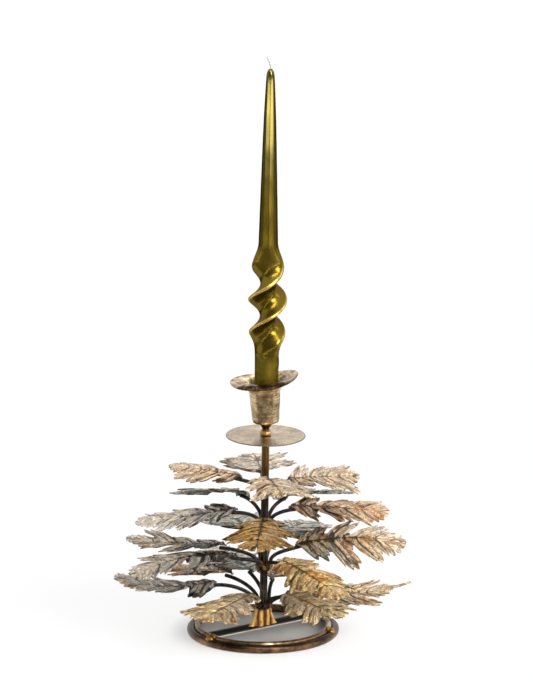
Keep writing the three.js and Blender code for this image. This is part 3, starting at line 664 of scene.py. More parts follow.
def leaf_ribs(leaf, draw, gap):
    """Ribs of one half: root on the midrib, end on the edge, share of its lobe, and the lobe's lift."""
    length, half = leaf.length, leaf.width / 2.0
    first, last = LOBES[0][0], LOBES[-1][1]
    ribs = [(PETIOLE_START * length, PETIOLE_START * length, PETIOLE, 0.0, 0.0)]
    for lobe, (start, end, size, lean) in enumerate(LOBES):
        innermost = lobe == 0
        size *= draw.uniform(*LOBE_SIZE)
        sinus = draw.uniform(*SINUS_REACH) + (INNER_SINUS if innermost else 0.0)
        open_share = gap * (INNER_GAP if innermost else 1.0)
        lift = draw.uniform(*LOBE_LIFT)
        shift = draw.uniform(*NICK_SHIFT)
        nicks = draw.choice(NICK_COUNTS)
        swing = draw.uniform(*LOBE_SWING_DEG)
        jag = draw.uniform(*JAG_START)
        for i in range(LOBE_STEPS):
            f = i / LOBE_STEPS
            inside = min(1.0, max(0.0, (f - open_share) / (1.0 - 2.0 * open_share)))
            swell = math.sin(math.pi * inside) ** LOBE_ROUNDNESS
            cut = 1.0 - SCALLOP_DEPTH * scallop(inside, nicks, shift) * swell
            cut += rough(Vector((jag + JAGS * f, 0.0, 0.0)), 1.0, JAG_DEPTH) * swell
            rib = half * size / math.cos(rad(lean)) * mix(sinus, LOBE_REACH, swell) * cut
            if innermost:
                rib = mix(PETIOLE, rib, smooth(f, 0.0, INNER_RISE))
            root = mix(start, end, f)
            lean_here = mix(*RIB_LEAN_DEG, (root - first) / (last - first))
            angle = rad(lean_here + (LOBE_FAN_DEG * (f - 0.5) + swing) * swell)
            root *= length
            ribs.append((root, root + rib * math.sin(angle), rib * math.cos(angle), f, lift))
    lift = draw.uniform(*END_LIFT)
    for i in range(LOBE_STEPS + 1):
        f = i / LOBE_STEPS
        along, across = end_edge(f)
        root = mix(last, END_ROOT, f)
        cut = 1.0 - END_CUT * SCALLOP_DEPTH * scallop(f, END_SCALLOPS) * math.sqrt(math.sin(math.pi * f))
        pull = cut * mix(*END_PULL, smooth(f, *END_EASE)) if f < 1.0 else 1.0
        u = mix(root, along, pull) * length
        ribs.append((root * length, u, across * length * pull, mix(*END_RIB_SHARE, f), lift))
    if leaf.tip:
        for share in TIP_SHARES:
            u = length + leaf.tip * share
            ribs.append((u - TIP_RIB_RUN, u, mix(*TIP_HALF_WIDTH, share), TIP_RIB_SHARE, lift))
    return ribs


def leaf_relief(rib, reach, tilt, drift):
    """Stamped height over the sheet, in millimetres, and the share of it that is ridge."""
    field = smooth(reach, *FIELD_RISE) * (1.0 - 0.6 * smooth(reach, *FIELD_FALL))
    pillow = field * abs(math.sin(2.0 * math.pi * rib)) ** 0.7
    pleat = field * (0.5 + 0.5 * math.sin(2.0 * math.pi * (PLEATS * rib + drift)))
    spine = 1.0 - smooth(reach, *SPINE_FALL)
    height = PILLOW * pillow + PLEAT * pleat + SPINE * spine + tilt * reach * reach
    return height, 0.5 * pillow + 0.5 * pleat


def add_leaf(index, leaf):
    """One stamped leaf, skinned rib by rib over both faces; returns its bent surface."""
    draw = random.Random(LEAF_SEED + index)
    surface = leaf_surface(leaf)
    side_on = smooth(abs(math.cos(rad(leaf.azimuth))), *SIDE_ON)
    gap = mix(SINUS_FULL, SINUS_OPEN, side_on)
    halves = {side: leaf_ribs(leaf, draw, gap) for side in (1, -1)}
    spots = [(1, k / ACROSS) for k in range(ACROSS, 0, -1)]
    spots += [(-1, k / ACROSS) for k in range(ACROSS + 1)]
    rings, marks = [], {mark: [] for mark in LEAF_MARKS}
    for one, two in zip(halves[1], halves[-1]):
        top, under, notes = [], [], []
        for side, reach in spots:
            root, u, v, share, lift = one if side == 1 else two
            where_u, where_v = mix(root, u, reach), side * v * reach
            tilt = lift if share > 0.0 else 0.0
            where = Vector((where_u, where_v, LEAF_NOISE_STEP * index))
            bow = 4.0 * reach * (1.0 - reach) if share > 0.0 else 0.0
            where_u += (rough(where, *VEIN_SWAY) - VEIN_BOW * v) * bow
            share_here = share + rough(where, *RIB_SWAY) * reach
            height, ridge = leaf_relief(share_here, reach, tilt, rough(where, *PLEAT_SWAY))
            height += (rough(where, *BROAD_BUCKLE) + rough(where, *FINE_BUCKLE)) * reach
            if share == 0.0 and abs(where_v) <= PETIOLE:
                height = 0.0
            height -= PETIOLE_DROP * (1.0 - smooth(where_u, 0.0, PETIOLE_RUN)) ** 2
            top.append(surface(where_u, where_v, height + SHEET / 2.0))
            under.append(surface(where_u, where_v, height - SHEET / 2.0))
            soot = (1.0 - smooth(where_u, *SOOT_ALONG)) * (1.0 - smooth(abs(where_v), *SOOT_ACROSS))
            # Share for the painted shade towards the stem
            inner = 1.0 - smooth(where_u, SHADE_FROM * leaf.length, SHADE_TO * leaf.length)
            notes.append((share, reach, ridge, soot, inner))
        rings.append(top + under[::-1])
        for note in notes + notes[::-1]:
            for mark, value in zip(LEAF_MARKS, note):
                marks[mark].append(value)
    name, tint = f"tier{leaf.tier}_{leaf.spot}", TINTS[leaf.tint]
    finish = leaf_finish(f"leaf_patina_{name}", tint, LEAF_SEED_STEP * index)
    piece(f"oak_leaf_{name}", skin(rings), finish, [f"leaf_{name}"], marks=marks, sharp_deg=50.0)
    return surface


def add_leaf_rod(leaf, surface, seat_turn, finish):
    """The rod from its seat beside the tube, up and out, to its cut end under the leaf."""
    name = f"tier{leaf.tier}_{leaf.spot}"
    seat_radius = TUBE_RADIUS + ROD_RADIUS + 2.0 * GAP
    under = -(SHEET / 2.0 + GAP + ROD_RADIUS)
    seat = polar(seat_radius, seat_turn, TIER_TOPS[leaf.tier] + GAP)
    end = surface(ROD_LAP, 0.0, under)
    upright = seat + Vector((0.0, 0.0, ROD_CLIMB * (end.z - seat.z)))
    run = ROD_RUN * math.hypot(end.x - seat.x, end.y - seat.y)
    approach = surface(ROD_LAP - run, 0.0, under - run * math.tan(rad(ROD_DIP_DEG)))
    path = []
    for t in shares(ROD_STEPS):
        a, b, c, d = (1 - t) ** 3, 3 * t * (1 - t) ** 2, 3 * t * t * (1 - t), t ** 3
        path.append(seat * a + upright * b + approach * c + end * d)
    path.append(end + (path[-1] - path[-2]).normalized() * ROD_CUT)

    def girth(share):
        return ROD_RADIUS * (0.82 if share > 0.999 else 1.0)

    rings = tube_rings(path, girth, ROD_SIDES)
    marks = {"along": shares_along(rings)}
    piece(f"leaf_rod_{name}", skin(rings), finish, [f"stem_{name}"], marks=marks)


def of_tier(tier):
    """The leaves of a tier, each with its place in the whole list."""
    return [(index, leaf) for index, leaf in enumerate(LEAVES) if leaf.tier == tier]


def add_leaves():
    rods = rod_finish("rod_scale")
    for tier in TIER_TOPS:
        group = of_tier(tier)
        first = rad(group[0][1].azimuth)
        for order, (index, leaf) in enumerate(group):
            surface = add_leaf(index, leaf)
            add_leaf_rod(leaf, surface, first + 2.0 * math.pi * order / len(group), rods)


# Base

RING_TURNS, RING_SIDES, RING_SWAY, RING_DENT = 160, 24, 0.25, 0.12
BEAD_TURNS, BEAD_SIDES, BEAD_RING, BEAD_HEIGHT, BEAD_LENGTH = 26, 28, 65.4, 7.9, 8.0
BEAD_HALF_WIDTH, BEAD_HALF_HEIGHT, BEAD_SLOPE = 4.6, 2.6, 0.55
BEAD_LUMP, BEAD_FLAT, BEAD_GROOVE, BEAD_GROOVE_WIDTH = 0.28, 0.22, 0.35, 0.8
# Section of the strip: across, up, and how much painted highlight its edge gets
STRIP_SECTION = (
    (-1.0, 0.12, 1.0), (-0.985, 0.0, 0.6), (0.0, 0.0, 0.0), (0.985, 0.0, 0.6), (1.0, 0.12, 1.0),
    (1.0, 0.88, 1.0), (0.985, 1.0, 0.35), (0.5, 1.0, 0.0), (0.0, 1.0, 0.0), (-0.5, 1.0, 0.0),
    (-0.985, 1.0, 0.35), (-1.0, 0.88, 1.0),
)
STRIP_STEPS = 40
FOOT_SIDES, FOOT_STEPS, FOOT_NECK, FOOT_CROWN = 84, 26, HUB_RADIUS - 0.6, 0.25
FLARE_POWER, ROOTS, ROOT_DEPTH = 2.1, 7.0, 2.2


def bent_ring(name, radius, rod, height, finish, node, seed, soot_deg):
    """A rod bent to a ring by hand: slightly uneven, flattened where it stands, sooty on the side given."""
    rings, soot = [], []
    for turn in around(RING_TURNS):
        out = polar(1.0, turn)
        sway = rough(out * 3.0 + Vector((seed, 0, 0)), 1.0, RING_SWAY)
        section = []
        for angle in around(RING_SIDES):
            soot.append(smooth(math.cos(angle + rad(soot_deg)), 0.5, 0.9))
            dent = rough(out * 40.0 + Vector((seed, -angle, 0)), 1.0, RING_DENT)
            r = radius + sway + (rod + dent) * math.cos(-angle)
            z = max(height + (rod + dent) * math.sin(-angle), 0.0)
            section.append(out * r + Vector((0.0, 0.0, z)))
        rings.append(section)
    piece(name, skin(rings, True), finish, [node], lean=False, marks={"along": soot}, sharp_deg=60.0)


def add_bead(name, azimuth_deg, node, finish, seed):
    """Braze run over the groove between the rings in two lumps, one on each ring."""
    rings, seam = [], []
    for i in range(BEAD_TURNS + 1):
        share = 2.0 * i / BEAD_TURNS - 1.0
        turn = rad(azimuth_deg) + share * BEAD_LENGTH / 2.0 / BEAD_RING
        body = math.sqrt(max(0.02, 1.0 - (0.97 * share) ** 4))
        section = []
        for angle in around(BEAD_SIDES):
            c, s = math.cos(-angle), math.sin(-angle)
            spot = Vector((2.0 * share, 1.5 * c, 1.5 * s))
            lump = 1.0 + rough(spot + Vector((seed, 0, 0)), 1.4, BEAD_LUMP)
            lump -= BEAD_FLAT * smooth(s, 0.5, 0.95)
            across, up = BEAD_HALF_WIDTH * body * lump * c, BEAD_HALF_HEIGHT * body * lump * s
            groove = math.exp(-((across / BEAD_GROOVE_WIDTH) ** 2)) * smooth(s, 0.0, 0.5)
            seam.append(groove)
            out = BEAD_RING + across
            z = BEAD_HEIGHT + up * (1.0 - BEAD_GROOVE * groove) - BEAD_SLOPE * across
            section.append(polar(out, turn, z))
        rings.append(section)
    piece(name, skin(rings), finish, [node], lean=False, marks={"along": seam})


def add_strip():
    """The flat strip across the rings, a little uneven, with painted highlights on its edges and ends."""
    half = STRIP_WIDTH / 2.0
    turn = Matrix.Rotation(rad(STRIP_AZIMUTH_DEG), 4, "Z")
    rings, cut = [], []
    for i in range(STRIP_STEPS + 1):
        share = 2.0 * i / STRIP_STEPS - 1.0
        section = []
        for y, z, bright in STRIP_SECTION:
            across = half * y * (1.0 + rough(Vector((share * 6.0, y, 0)), 1.0, 0.012))
            x = share * math.sqrt(STRIP_END ** 2 - across ** 2)
            height = mix(STRIP_BOTTOM, STRIP_TOP, z) + rough(Vector((x, across, z)), 0.06, 0.06)
            section.append(turn @ Vector((x, across, height)))
            # Painted highlight: edges as the section says, ends in full
            cut.append(max(bright, 1.0 if abs(share) > 0.99 else 0.0))
        rings.append(section)
    marks = {"along": cut}
    piece("base_strip", skin(rings), strip_finish(), ["cross_strip"], lean=False, marks=marks)


def add_foot():
    """The flared foot: roots run down from the tube and spread along the strip."""
    rings, up_marks, ridges = [], [], []

    def add(radius, height, up, ridge):
        rings.append(ring(FOOT_SIDES, radius, height))
        for angle in around(FOOT_SIDES):
            up_marks.append(up)
            ridges.append(ridge(angle))

    for up in shares(FOOT_STEPS):
        flare = (1.0 - up) ** FLARE_POWER

        def roots(angle, up=up):
            turn = angle - rad(STRIP_AZIMUTH_DEG)
            wave = math.cos(ROOTS * turn + 0.8 * math.sin(2.0 * turn) + 0.5 * up)
            return 0.5 - 0.5 * wave

        def radius(angle, up=up, flare=flare, roots=roots):
            turn = angle - rad(STRIP_AZIMUTH_DEG)
            long, short = mix(FOOT_NECK, FOOT_LENGTH, flare), mix(FOOT_NECK, FOOT_WIDTH, flare)
            plain = 1.0 / math.hypot(math.cos(turn) / long, math.sin(turn) / short)
            spot = polar(1.0, angle, up * 2.0)
            hollow = ROOT_DEPTH * (1.0 - 0.4 * up) * (1.0 - roots(angle))
            return plain - hollow + rough(spot * 3.0, 1.0, 0.45)

        add(radius, mix(FOOT_BOTTOM, FOOT_TOP, up), up, roots)
    add(mix(HUB_RADIUS, FOOT_HOLE, 0.5), FOOT_TOP + FOOT_CROWN, 1.0, lambda angle: 0.2)
    add(FOOT_HOLE, FOOT_TOP, 1.0, lambda angle: 0.0)
    add(FOOT_HOLE, FOOT_BOTTOM, 0.0, lambda angle: 0.0)
    marks = {"along": up_marks, "relief": ridges}
    finish = foot_finish()
    piece("flared_foot", skin(rings, True), finish, ["root_foot"], lean=False, marks=marks)


def add_base():
    steel = ring_finish("ring_scale", tone(58, 41, 29), tone(128, 98, 72), tone(174, 126, 91),
                        grain_scale=420.0, seed=1.0, soot=0.6)
    bent_ring("base_ring", LOWER_RING, LOWER_ROD, LOWER_HEIGHT,
              steel, "lower_ring", seed=2.0, soot_deg=68.0)
    bronze = ring_finish("ring_heat", tone(74, 57, 39), tone(160, 132, 96), tone(232, 211, 178),
                         grain_scale=360.0, seed=9.0, soot=1.0)
    bent_ring("inner_ring", UPPER_RING, UPPER_ROD + 0.3, UPPER_HEIGHT + 0.2,
              bronze, "upper_ring", seed=8.0, soot_deg=-40.0)
    beads = braze_finish("bead_braze", tone(214, 168, 88), tone(130, 90, 42), tone(58, 40, 24), 0.6)
    add_bead("braze_bead_left", 222.0, "braze_left", beads, 3.0)
    add_bead("braze_bead_right", -16.0, "braze_right", beads, 7.0)
    add_strip()
    add_foot()


# Stem

TUBE_SIDES, TUBE_STEPS, PAN_SIDES, PAN_STEPS, TURNED_SIDES = 32, 60, 112, 36, 48
HUB_SIDES, HUB_STEPS, HUB_BELLY, HUB_ROUNDNESS, HUB_CROWN = 72, 18, (0.1, 0.78), 0.55, 0.15
HUB_HEAP, HUB_LUMP = 0.35, 0.7
CORNER_SHARE, AXIS, COLLAR_FOOT = 0.45, 0.02, 4.7
PAN_MIDDLE, PAN_EDGE, PAN_EDGE_DEG = (PAN_BOTTOM + PAN_TOP) / 2.0, 0.5, (-60, -30, 0, 30, 60)
# The cup's outer corner: inset and height; and the height of its inner corner
CUP_CORNER_TOP, CUP_INNER_CORNER = 2.6, 2.4
CUP_CORNER = ((2.4, 0.0), (1.2, 0.25), (0.35, 1.1), (0.0, CUP_CORNER_TOP))
FLARE_OUT, FLARE_UP = 1.9, 1.35


def turned(profile, sides):
    """A closed turned shape from (radius, height, mark) points listed up the outside and down the bore."""
    rings, marks = [], []
    for radius, height, mark in profile:
        rings.append(ring(sides, radius, height))
        marks += [mark] * sides
    return skin(rings, True), marks


def rounded(corners, radius, steps=4):
    """A profile whose corners are rounded; corners are (radius, height, mark)."""
    out = []
    for i, corner in enumerate(corners):
        here = Vector(corner)
        before, after = Vector(corners[i - 1]), Vector(corners[(i + 1) % len(corners)])
        to_before, to_after = before - here, after - here
        flat_before, flat_after = to_before.xy.length, to_after.xy.length
        a = here + to_before * min(CORNER_SHARE, radius / max(flat_before, 1e-6))
        b = here + to_after * min(CORNER_SHARE, radius / max(flat_after, 1e-6))
        for t in shares(steps):
            out.append(tuple(a * (1 - t) ** 2 + here * 2 * t * (1 - t) + b * t * t))
    return out


def add_tube():
    profile = [(TUBE_RADIUS, mix(TUBE_BOTTOM, TUBE_TOP, share), share) for share in shares(TUBE_STEPS)]
    profile += [(TUBE_BORE, height, share) for _, height, share in reversed(profile)]
    shape, along = turned(profile, TUBE_SIDES)
    piece("tree_stem", shape, tube_finish(), ["stem_tube"], marks={"along": along})


def add_hub(name, node, top, rods, first_deg, finish, seed):
    """A collar of braze heaped round the tube and up against each rod's root."""
    bottom = top - HUB_HEIGHT

    def lump(angle, up):
        near = math.cos(rods * (angle - rad(first_deg)))
        spot = polar(1.0, angle, 1.6 * up)
        return HUB_HEAP * near + rough(spot * 2.2 + Vector((seed, 0, 0)), 1.0, HUB_LUMP)

    rings = []
    for up in shares(HUB_STEPS):
        belly = math.sin(math.pi * mix(*HUB_BELLY, up)) ** HUB_ROUNDNESS

        def radius(angle, up=up, belly=belly):
            return mix(HUB_HOLE, HUB_RADIUS - 0.3, belly) + lump(angle, up) * belly

        rings.append(ring(HUB_SIDES, radius, mix(bottom, top, up)))
    crown = mix(HUB_HOLE, HUB_RADIUS, 0.45)
    for radius, height in ((crown, top + HUB_CROWN), (HUB_HOLE, top), (HUB_HOLE, bottom)):
        rings.append(ring(HUB_SIDES, radius, height))
    piece(name, skin(rings, True), finish, [node])


def add_hubs():
    braze = braze_finish("hub_braze", tone(166, 122, 60), tone(86, 60, 32), tone(30, 25, 21), 0.48)
    for tier, spot, seed in ((2, "lower", 1.0), (3, "middle", 5.0), (4, "upper", 9.0)):
        group = of_tier(tier)
        first_deg = group[0][1].azimuth
        add_hub(f"braze_hub_{spot}", f"hub_{spot}", TIER_TOPS[tier], len(group), first_deg, braze, seed)


def add_ferrule():
    gold = braze_finish("collar_brass", tone(214, 168, 92), tone(146, 104, 52), tone(70, 50, 32), 0.68)
    bottom = TUBE_TOP - COLLAR_HEIGHT
    corners = [
        (HUB_HOLE, bottom, 0.0), (COLLAR_FOOT, bottom, 0.0), (COLLAR_RADIUS, mix(bottom, TUBE_TOP, 0.4), 0.0),
        (COLLAR_RADIUS, TUBE_TOP, 0.0), (HUB_HOLE, TUBE_TOP, 0.0),
    ]
    shape, _ = turned(rounded(corners, 0.5), TURNED_SIDES)
    piece("stem_ferrule", shape, gold, ["pan_collar"])


def add_pan():
    """The flat pan: a disc with a round edge, a little uneven."""
    flat = PAN_RADIUS - PAN_EDGE
    steps = shares(PAN_STEPS)
    profile = [(mix(PAN_HOLE, flat, share), PAN_BOTTOM, share * 0.98) for share in steps]
    for angle in PAN_EDGE_DEG:
        edge = polar(PAN_EDGE, rad(angle))
        profile.append((flat + edge.x, PAN_MIDDLE + edge.y, 1.0))
    profile += [(mix(PAN_HOLE, flat, share), PAN_TOP, share * 0.98) for share in reversed(steps)]
    shape, out_marks = turned(profile, PAN_SIDES)
    for point in shape[0]:
        point.z += rough(point, 0.045, 0.16) * smooth(point.xy.length, 8.0, 30.0)
    piece("wax_pan", shape, pan_finish(), ["drip_pan"], marks={"along": out_marks})


def add_neck():
    """The turned neck with its spigot below and its riveted tenon above."""
    height = NECK_TOP - NECK_BOTTOM
    corners = [
        (AXIS, SPIGOT_BOTTOM, 0.0), (SPIGOT_RADIUS, SPIGOT_BOTTOM, 0.0), (SPIGOT_RADIUS, NECK_BOTTOM, 0.0),
        (NECK_RADIUS - 0.9, NECK_BOTTOM, 0.1), (NECK_RADIUS, NECK_BOTTOM + 0.12 * height, 0.0),
        (NECK_RADIUS - 0.2, NECK_BOTTOM + 0.3 * height, 0.0), (NECK_WAIST, NECK_BOTTOM + 0.46 * height, 0.9),
        (NECK_WAIST, NECK_BOTTOM + 0.56 * height, 1.0), (NECK_RADIUS, NECK_BOTTOM + 0.86 * height, 1.0),
        (NECK_RADIUS, NECK_TOP, 1.0), (TENON_RADIUS, NECK_TOP, 0.8), (TENON_RADIUS, RIVET_BOTTOM, 0.2),
        (RIVET_RADIUS, RIVET_BOTTOM, 0.2), (0.72 * RIVET_RADIUS, RIVET_TOP, 0.2), (AXIS, RIVET_TOP, 0.2),
    ]
    shape, dark = turned(rounded(corners, 0.55), TURNED_SIDES)
    piece("turned_neck", shape, neck_finish(), ["neck"], marks={"along": dark})


def add_cup():
    """A tapered cup whose flared rim was bent by hand: low at the left, high at the right."""
    sides, steps, body_steps = 120, 14, 8
    bottom_outer, top_outer = CUP_BOTTOM_INNER + CUP_WALL, CUP_TOP_INNER + CUP_WALL
    tilt = Matrix.Translation((0.0, 0.0, CUP_BOTTOM)) @ Matrix.Rotation(-rad(CUP_TILT_DEG), 4, "Y")
    rings, marks = [], []

    def add(radius, height, out=0.0, mark=0.0, burn_and_shade=0.0):
        def wave(angle):
            bend = RIM_SIDE_RISE * math.cos(angle) + RIM_SADDLE * math.cos(2.0 * angle)
            bend += 0.5 * math.sin(3.0 * angle + 0.7) * out
            front = smooth(-math.sin(angle), 0.2, 0.9)
            return height + out * bend + RIM_CURL * math.sin(math.pi * out) * front

        def wide(angle):
            spot = polar(1.0, angle, height * 0.06)
            return radius + rough(spot * 2.4, 1.0, 0.22 + 0.3 * out)

        rings.append([tilt @ p for p in ring(sides, wide if radius > 5.0 else radius, wave)])
        for angle in around(sides):
            # Front of the flare: the dark patch, partly burn and partly painted shade and reflection of the
            # candle
            front = smooth(-math.sin(angle), 0.35, 0.9)
            marks.append(mix(mark, 1.0, burn_and_shade * front))

    def flare(share):
        """Out and up along the flare, as shares."""
        return share ** FLARE_OUT, 1.0 - (1.0 - share) ** FLARE_UP

    add(CUP_HOLE, 0.0, mark=0.6)
    for inset, height in CUP_CORNER:
        add(bottom_outer - inset, height, mark=0.35)
    for share in shares(body_steps)[1:]:
        height = mix(CUP_CORNER_TOP, CUP_BODY, share)
        add(mix(bottom_outer, top_outer, share), height, mark=0.25 * smooth(share, 0.85, 1.0))
    for share in shares(steps)[1:]:
        out, up = flare(share)
        add(mix(top_outer, RIM_RADIUS, out), CUP_BODY + up * CUP_FLARE, out,
            mark=0.35 * smooth(out, 0.9, 1.0), burn_and_shade=0.9 * smooth(out, 0.55, 0.95))
    add(RIM_RADIUS + 0.1, CUP_BODY + CUP_FLARE + 0.5, out=1.0, mark=0.5, burn_and_shade=0.9)
    for share in shares(steps)[:0:-1]:
        out, up = flare(share)
        add(mix(CUP_TOP_INNER, RIM_RADIUS - 0.4, out), CUP_BODY + up * CUP_FLARE + CUP_WALL, out,
            mark=mix(0.75, 0.42, smooth(out, 0.1, 0.5)), burn_and_shade=0.9)
    for share in reversed(shares(body_steps)):
        add(mix(CUP_BOTTOM_INNER, CUP_TOP_INNER, share), mix(CUP_INNER_CORNER, CUP_BODY, share), mark=0.8)
    add(CUP_BOTTOM_INNER - CUP_WALL, CUP_FLOOR, mark=0.8)
    add(CUP_HOLE, CUP_FLOOR, mark=0.8)
    piece("flared_cup", skin(rings, True), cup_finish(), ["candle_cup"], marks={"along": marks})


# Candle

TWIST_FULL, TWIST_RUN_OUT, TWIST_BLUNT = 60.0, 20.0, 0.94
# The flat stretch: heights over the twist's bottom where it starts and is full, and depths under its top
# where it is still full and where it is gone
SWELL_FROM, SWELL_FULL, SWELL_LAST, SWELL_GONE = -2.0, 25.0, 1.0, -23.0
SLIM_FROM = mix(TWIST_BOTTOM, TAPER_BOTTOM, 0.4)
TOP_COIL, LOW_COIL = 0.84, 0.94
# The taper: how much of it is straight, and how sharply the rest rounds off
TAPER_STRAIGHT, TAPER_ROUND, TAPER_POWER = 0.8, 0.2, 6
DOME_BOTTOM, DOME_DEG = CANDLE_TOP - 2.0 * TAPER_TIP, (12, 24, 36, 47, 57, 66, 72)
# Stretches of rings up the candle: bottom, top and steps
CANDLE_RUNS = ((210.0, 250.0, 8), (251.0, 378.0, 150), (381.0, DOME_BOTTOM, 50))
# Creases: height and depth
CREASES, CREASE_WIDTH = ((265.5, 0.14), (269.0, 0.2)), 0.8
LIP_ANGLE, LIP_SPREAD, LIP_DEPTH, LIP_RISE, LIP_FALL = -0.35, 0.42, 0.7, (252.0, 261.0), (262.0, 267.5)
# Heights where the scuffed foot ends, where the dull stretch starts and ends, and where it grows duller
SCUFF_FALL, DULL_RISE, DULL_FALL, DULLER_RISE = (257.0, 272.0), (262.0, 268.0), (366.0, 398.0), (344.0, 356.0)
WICK_STEPS, WICK_FREE_STEPS, WICK_SIDES = 6, 14, 12


def twist_radii(height):
    """Half width, half thickness and turn of the candle's section at a height, and how flat it is."""
    below = TWIST_TOP - height
    swell = smooth(height, TWIST_BOTTOM + SWELL_FROM, TWIST_BOTTOM + SWELL_FULL)
    swell *= smooth(below, SWELL_GONE, SWELL_LAST)
    plain = mix(CANDLE_RADIUS, TAPER_FOOT, smooth(height, SLIM_FROM, TAPER_BOTTOM))
    if height > TAPER_BOTTOM:
        rise = min(1.0, (height - TAPER_BOTTOM) / (DOME_BOTTOM - TAPER_BOTTOM))
        slimmed = TAPER_STRAIGHT * rise + TAPER_ROUND * rise ** TAPER_POWER
        plain = TAPER_FOOT - (TAPER_FOOT - TAPER_TIP) * slimmed
    wide = TWIST_HALF_WIDTH * mix(TOP_COIL, 1.0, smooth(below, 2.0, 26.0))
    wide *= mix(1.0, LOW_COIL, smooth(below, 40.0, 60.0))
    long, short = mix(plain, wide, swell), mix(plain, TWIST_HALF_THICKNESS, swell)
    turned_by = below
    if below < TWIST_EASE:
        turned_by = max(0.0, below + TWIST_EASE) ** 2 / (4.0 * TWIST_EASE)
    over = min(TWIST_RUN_OUT, below - TWIST_FULL)
    if over > 0.0:
        turned_by = TWIST_FULL + over - over ** 2 / (2.0 * TWIST_RUN_OUT)
    return long, short, -2.0 * math.pi * turned_by / TWIST_PITCH, swell


def wrinkle(angle, height):
    """Soft creases where the twist starts, and a torn lip on the right of the plain foot."""
    depth = 0.0
    for level, reach in CREASES:
        band = math.exp(-(((height - level - 1.5 * math.sin(angle + level)) / CREASE_WIDTH) ** 2))
        depth -= reach * band * smooth(-math.sin(angle), -0.2, 0.6)
    from_lip = (angle - LIP_ANGLE + math.pi) % (2.0 * math.pi) - math.pi
    lip = math.exp(-((from_lip / LIP_SPREAD) ** 2))
    return depth + LIP_DEPTH * lip * smooth(height, *LIP_RISE) * (1.0 - smooth(height, *LIP_FALL))


def add_candle():
    """The candle, round its wick hole, with marks for its scuffed foot, its ridges and its dull stretch."""
    sides = 96
    crests, flats = [0.5] * sides, [0.0] * sides

    def section(height):
        long, short, turn, swell = twist_radii(height)
        dull = fall(height, *DULL_FALL) * smooth(height, *DULL_RISE)
        dull = max(swell, dull) * (1.0 + 0.2 * dull * (1.0 - fall(height, *DULLER_RISE)))
        blunt = mix(1.0, TWIST_BLUNT, swell)
        points = []
        for angle in around(sides):
            c, s = math.cos(angle - turn), math.sin(angle - turn)
            a, b = long * math.copysign(abs(c) ** blunt, c), short * math.copysign(abs(s) ** blunt, s)
            x, y = a * math.cos(turn) - b * math.sin(turn), a * math.sin(turn) + b * math.cos(turn)
            # Crest: 1 on the twist's edges, 0 mid-face; the finish paints highlight and shade by it
            crests.append(mix(0.5, c * c, swell))
            flats.append(dull)
            grow = wrinkle(angle, height) + rough(Vector((x, y, height * 0.4)), 0.12, 0.1 + 0.12 * swell)
            flat = Vector((x, y, 0.0)).normalized()
            points.append(Vector((x, y, height)) + flat * grow)
        return points

    rings = [[p * 0.94 for p in ring(sides, CANDLE_RADIUS, 0.0)]]
    for point in rings[0]:
        point.z = CANDLE_BOTTOM
    heights = [CANDLE_BOTTOM + 0.6]
    for bottom, top, steps in CANDLE_RUNS:
        heights += [mix(bottom, top, share) for share in shares(steps)]
    rings += [section(h) for h in heights]
    foot = [1.0 - smooth(h, *SCUFF_FALL) for h in [CANDLE_BOTTOM] + heights for _ in range(sides)]
    for angle in DOME_DEG:
        c, s = math.cos(rad(angle)), math.sin(rad(angle))
        rings.append(ring(sides, TAPER_TIP * c, DOME_BOTTOM + 2.0 * TAPER_TIP * s))
    rings.append(ring(sides, WICK_HOLE, CANDLE_TOP - GAP))
    rings.append(ring(sides, WICK_HOLE, CANDLE_BOTTOM))
    marks = {"along": (foot, 0.0), "relief": (crests, 0.5), "flat": (flats, 1.0)}
    for name, (values, rest) in marks.items():
        marks[name] = values + [rest] * (len(rings) * sides - len(values))
    piece("twisted_candle", skin(rings, True), wax_finish(), ["candle"],
          body=CANDLE, marks=marks, sharp_deg=60.0)


def add_wick():
    path = [Vector((0.0, 0.0, mix(CANDLE_BOTTOM, CANDLE_TOP, share))) for share in shares(WICK_STEPS)]
    for share in shares(WICK_FREE_STEPS)[1:]:
        path.append(Vector((-WICK_BEND * share ** 2, 0.0, CANDLE_TOP + WICK_FREE * share)))
    rings = tube_rings(path, lambda share: WICK_RADIUS * (0.75 if share > 0.99 else 1.0), WICK_SIDES)
    marks = {"along": shares_along(rings)}
    piece("plaited_wick", skin(rings), cotton_finish(), ["wick"], body=CANDLE, marks=marks)


# Camera, floor and light, in metres

SENSOR_MM, LENS_MM, CAMERA_REACH = 36.0, 473.8, 60.0
EYE, AIM = Vector((3.25, -8000.0, 2445.8)) * MM, Vector((3.25, 0.0, 281.1)) * MM
STUDIO_DIM, KEY_ANGLE_DEG = 0.78, 45.0
FLOOR_HALF, FLOOR_RISE_MM = 9.0, 26.0
FLOOR_LIFT, FLOOR_LIFT_NEAR, FLOOR_LIFT_INSIDE = 0.8, 0.46, 0.03
CARD_HEIGHT, GLOW_HEIGHT, CARD_END, CARD_TURNS = 0.003, 0.005, 4.0, 32
GLOW, GLOW_LEFT, GLOW_RIGHT = 7.4, (2.3, 3.1), (1.95, 2.7)
WALL_RADIUS, WALL_BOTTOM, WALL_TOP, WALL_TURNS = 4.2, 0.1, 5.6, 24

# Bright cards that only shiny surfaces see: place, aim, width, height and radiance
PANELS = (
    ("front_card", (0.6, -1.33, 1.14), (0.0, 0.0, 0.3), 0.7, 1.05, 9.2),
    ("back_card", (0.3, 1.6, 1.4), (0.0, 0.0, 0.1), 1.7, 0.4, 3.2),
    ("top_card", (-0.2, -0.8, 1.6), (0.0, 0.0, 0.3), 1.2, 0.28, 8.0),
)


def grey(shade):
    return (shade, shade, shade, 1.0)


def aimed(obj, place, aim):
    """Stands a camera or lamp at a place and turns it to its aim."""
    obj.location = place
    obj.rotation_euler = (Vector(aim) - Vector(place)).to_track_quat("-Z", "Y").to_euler()


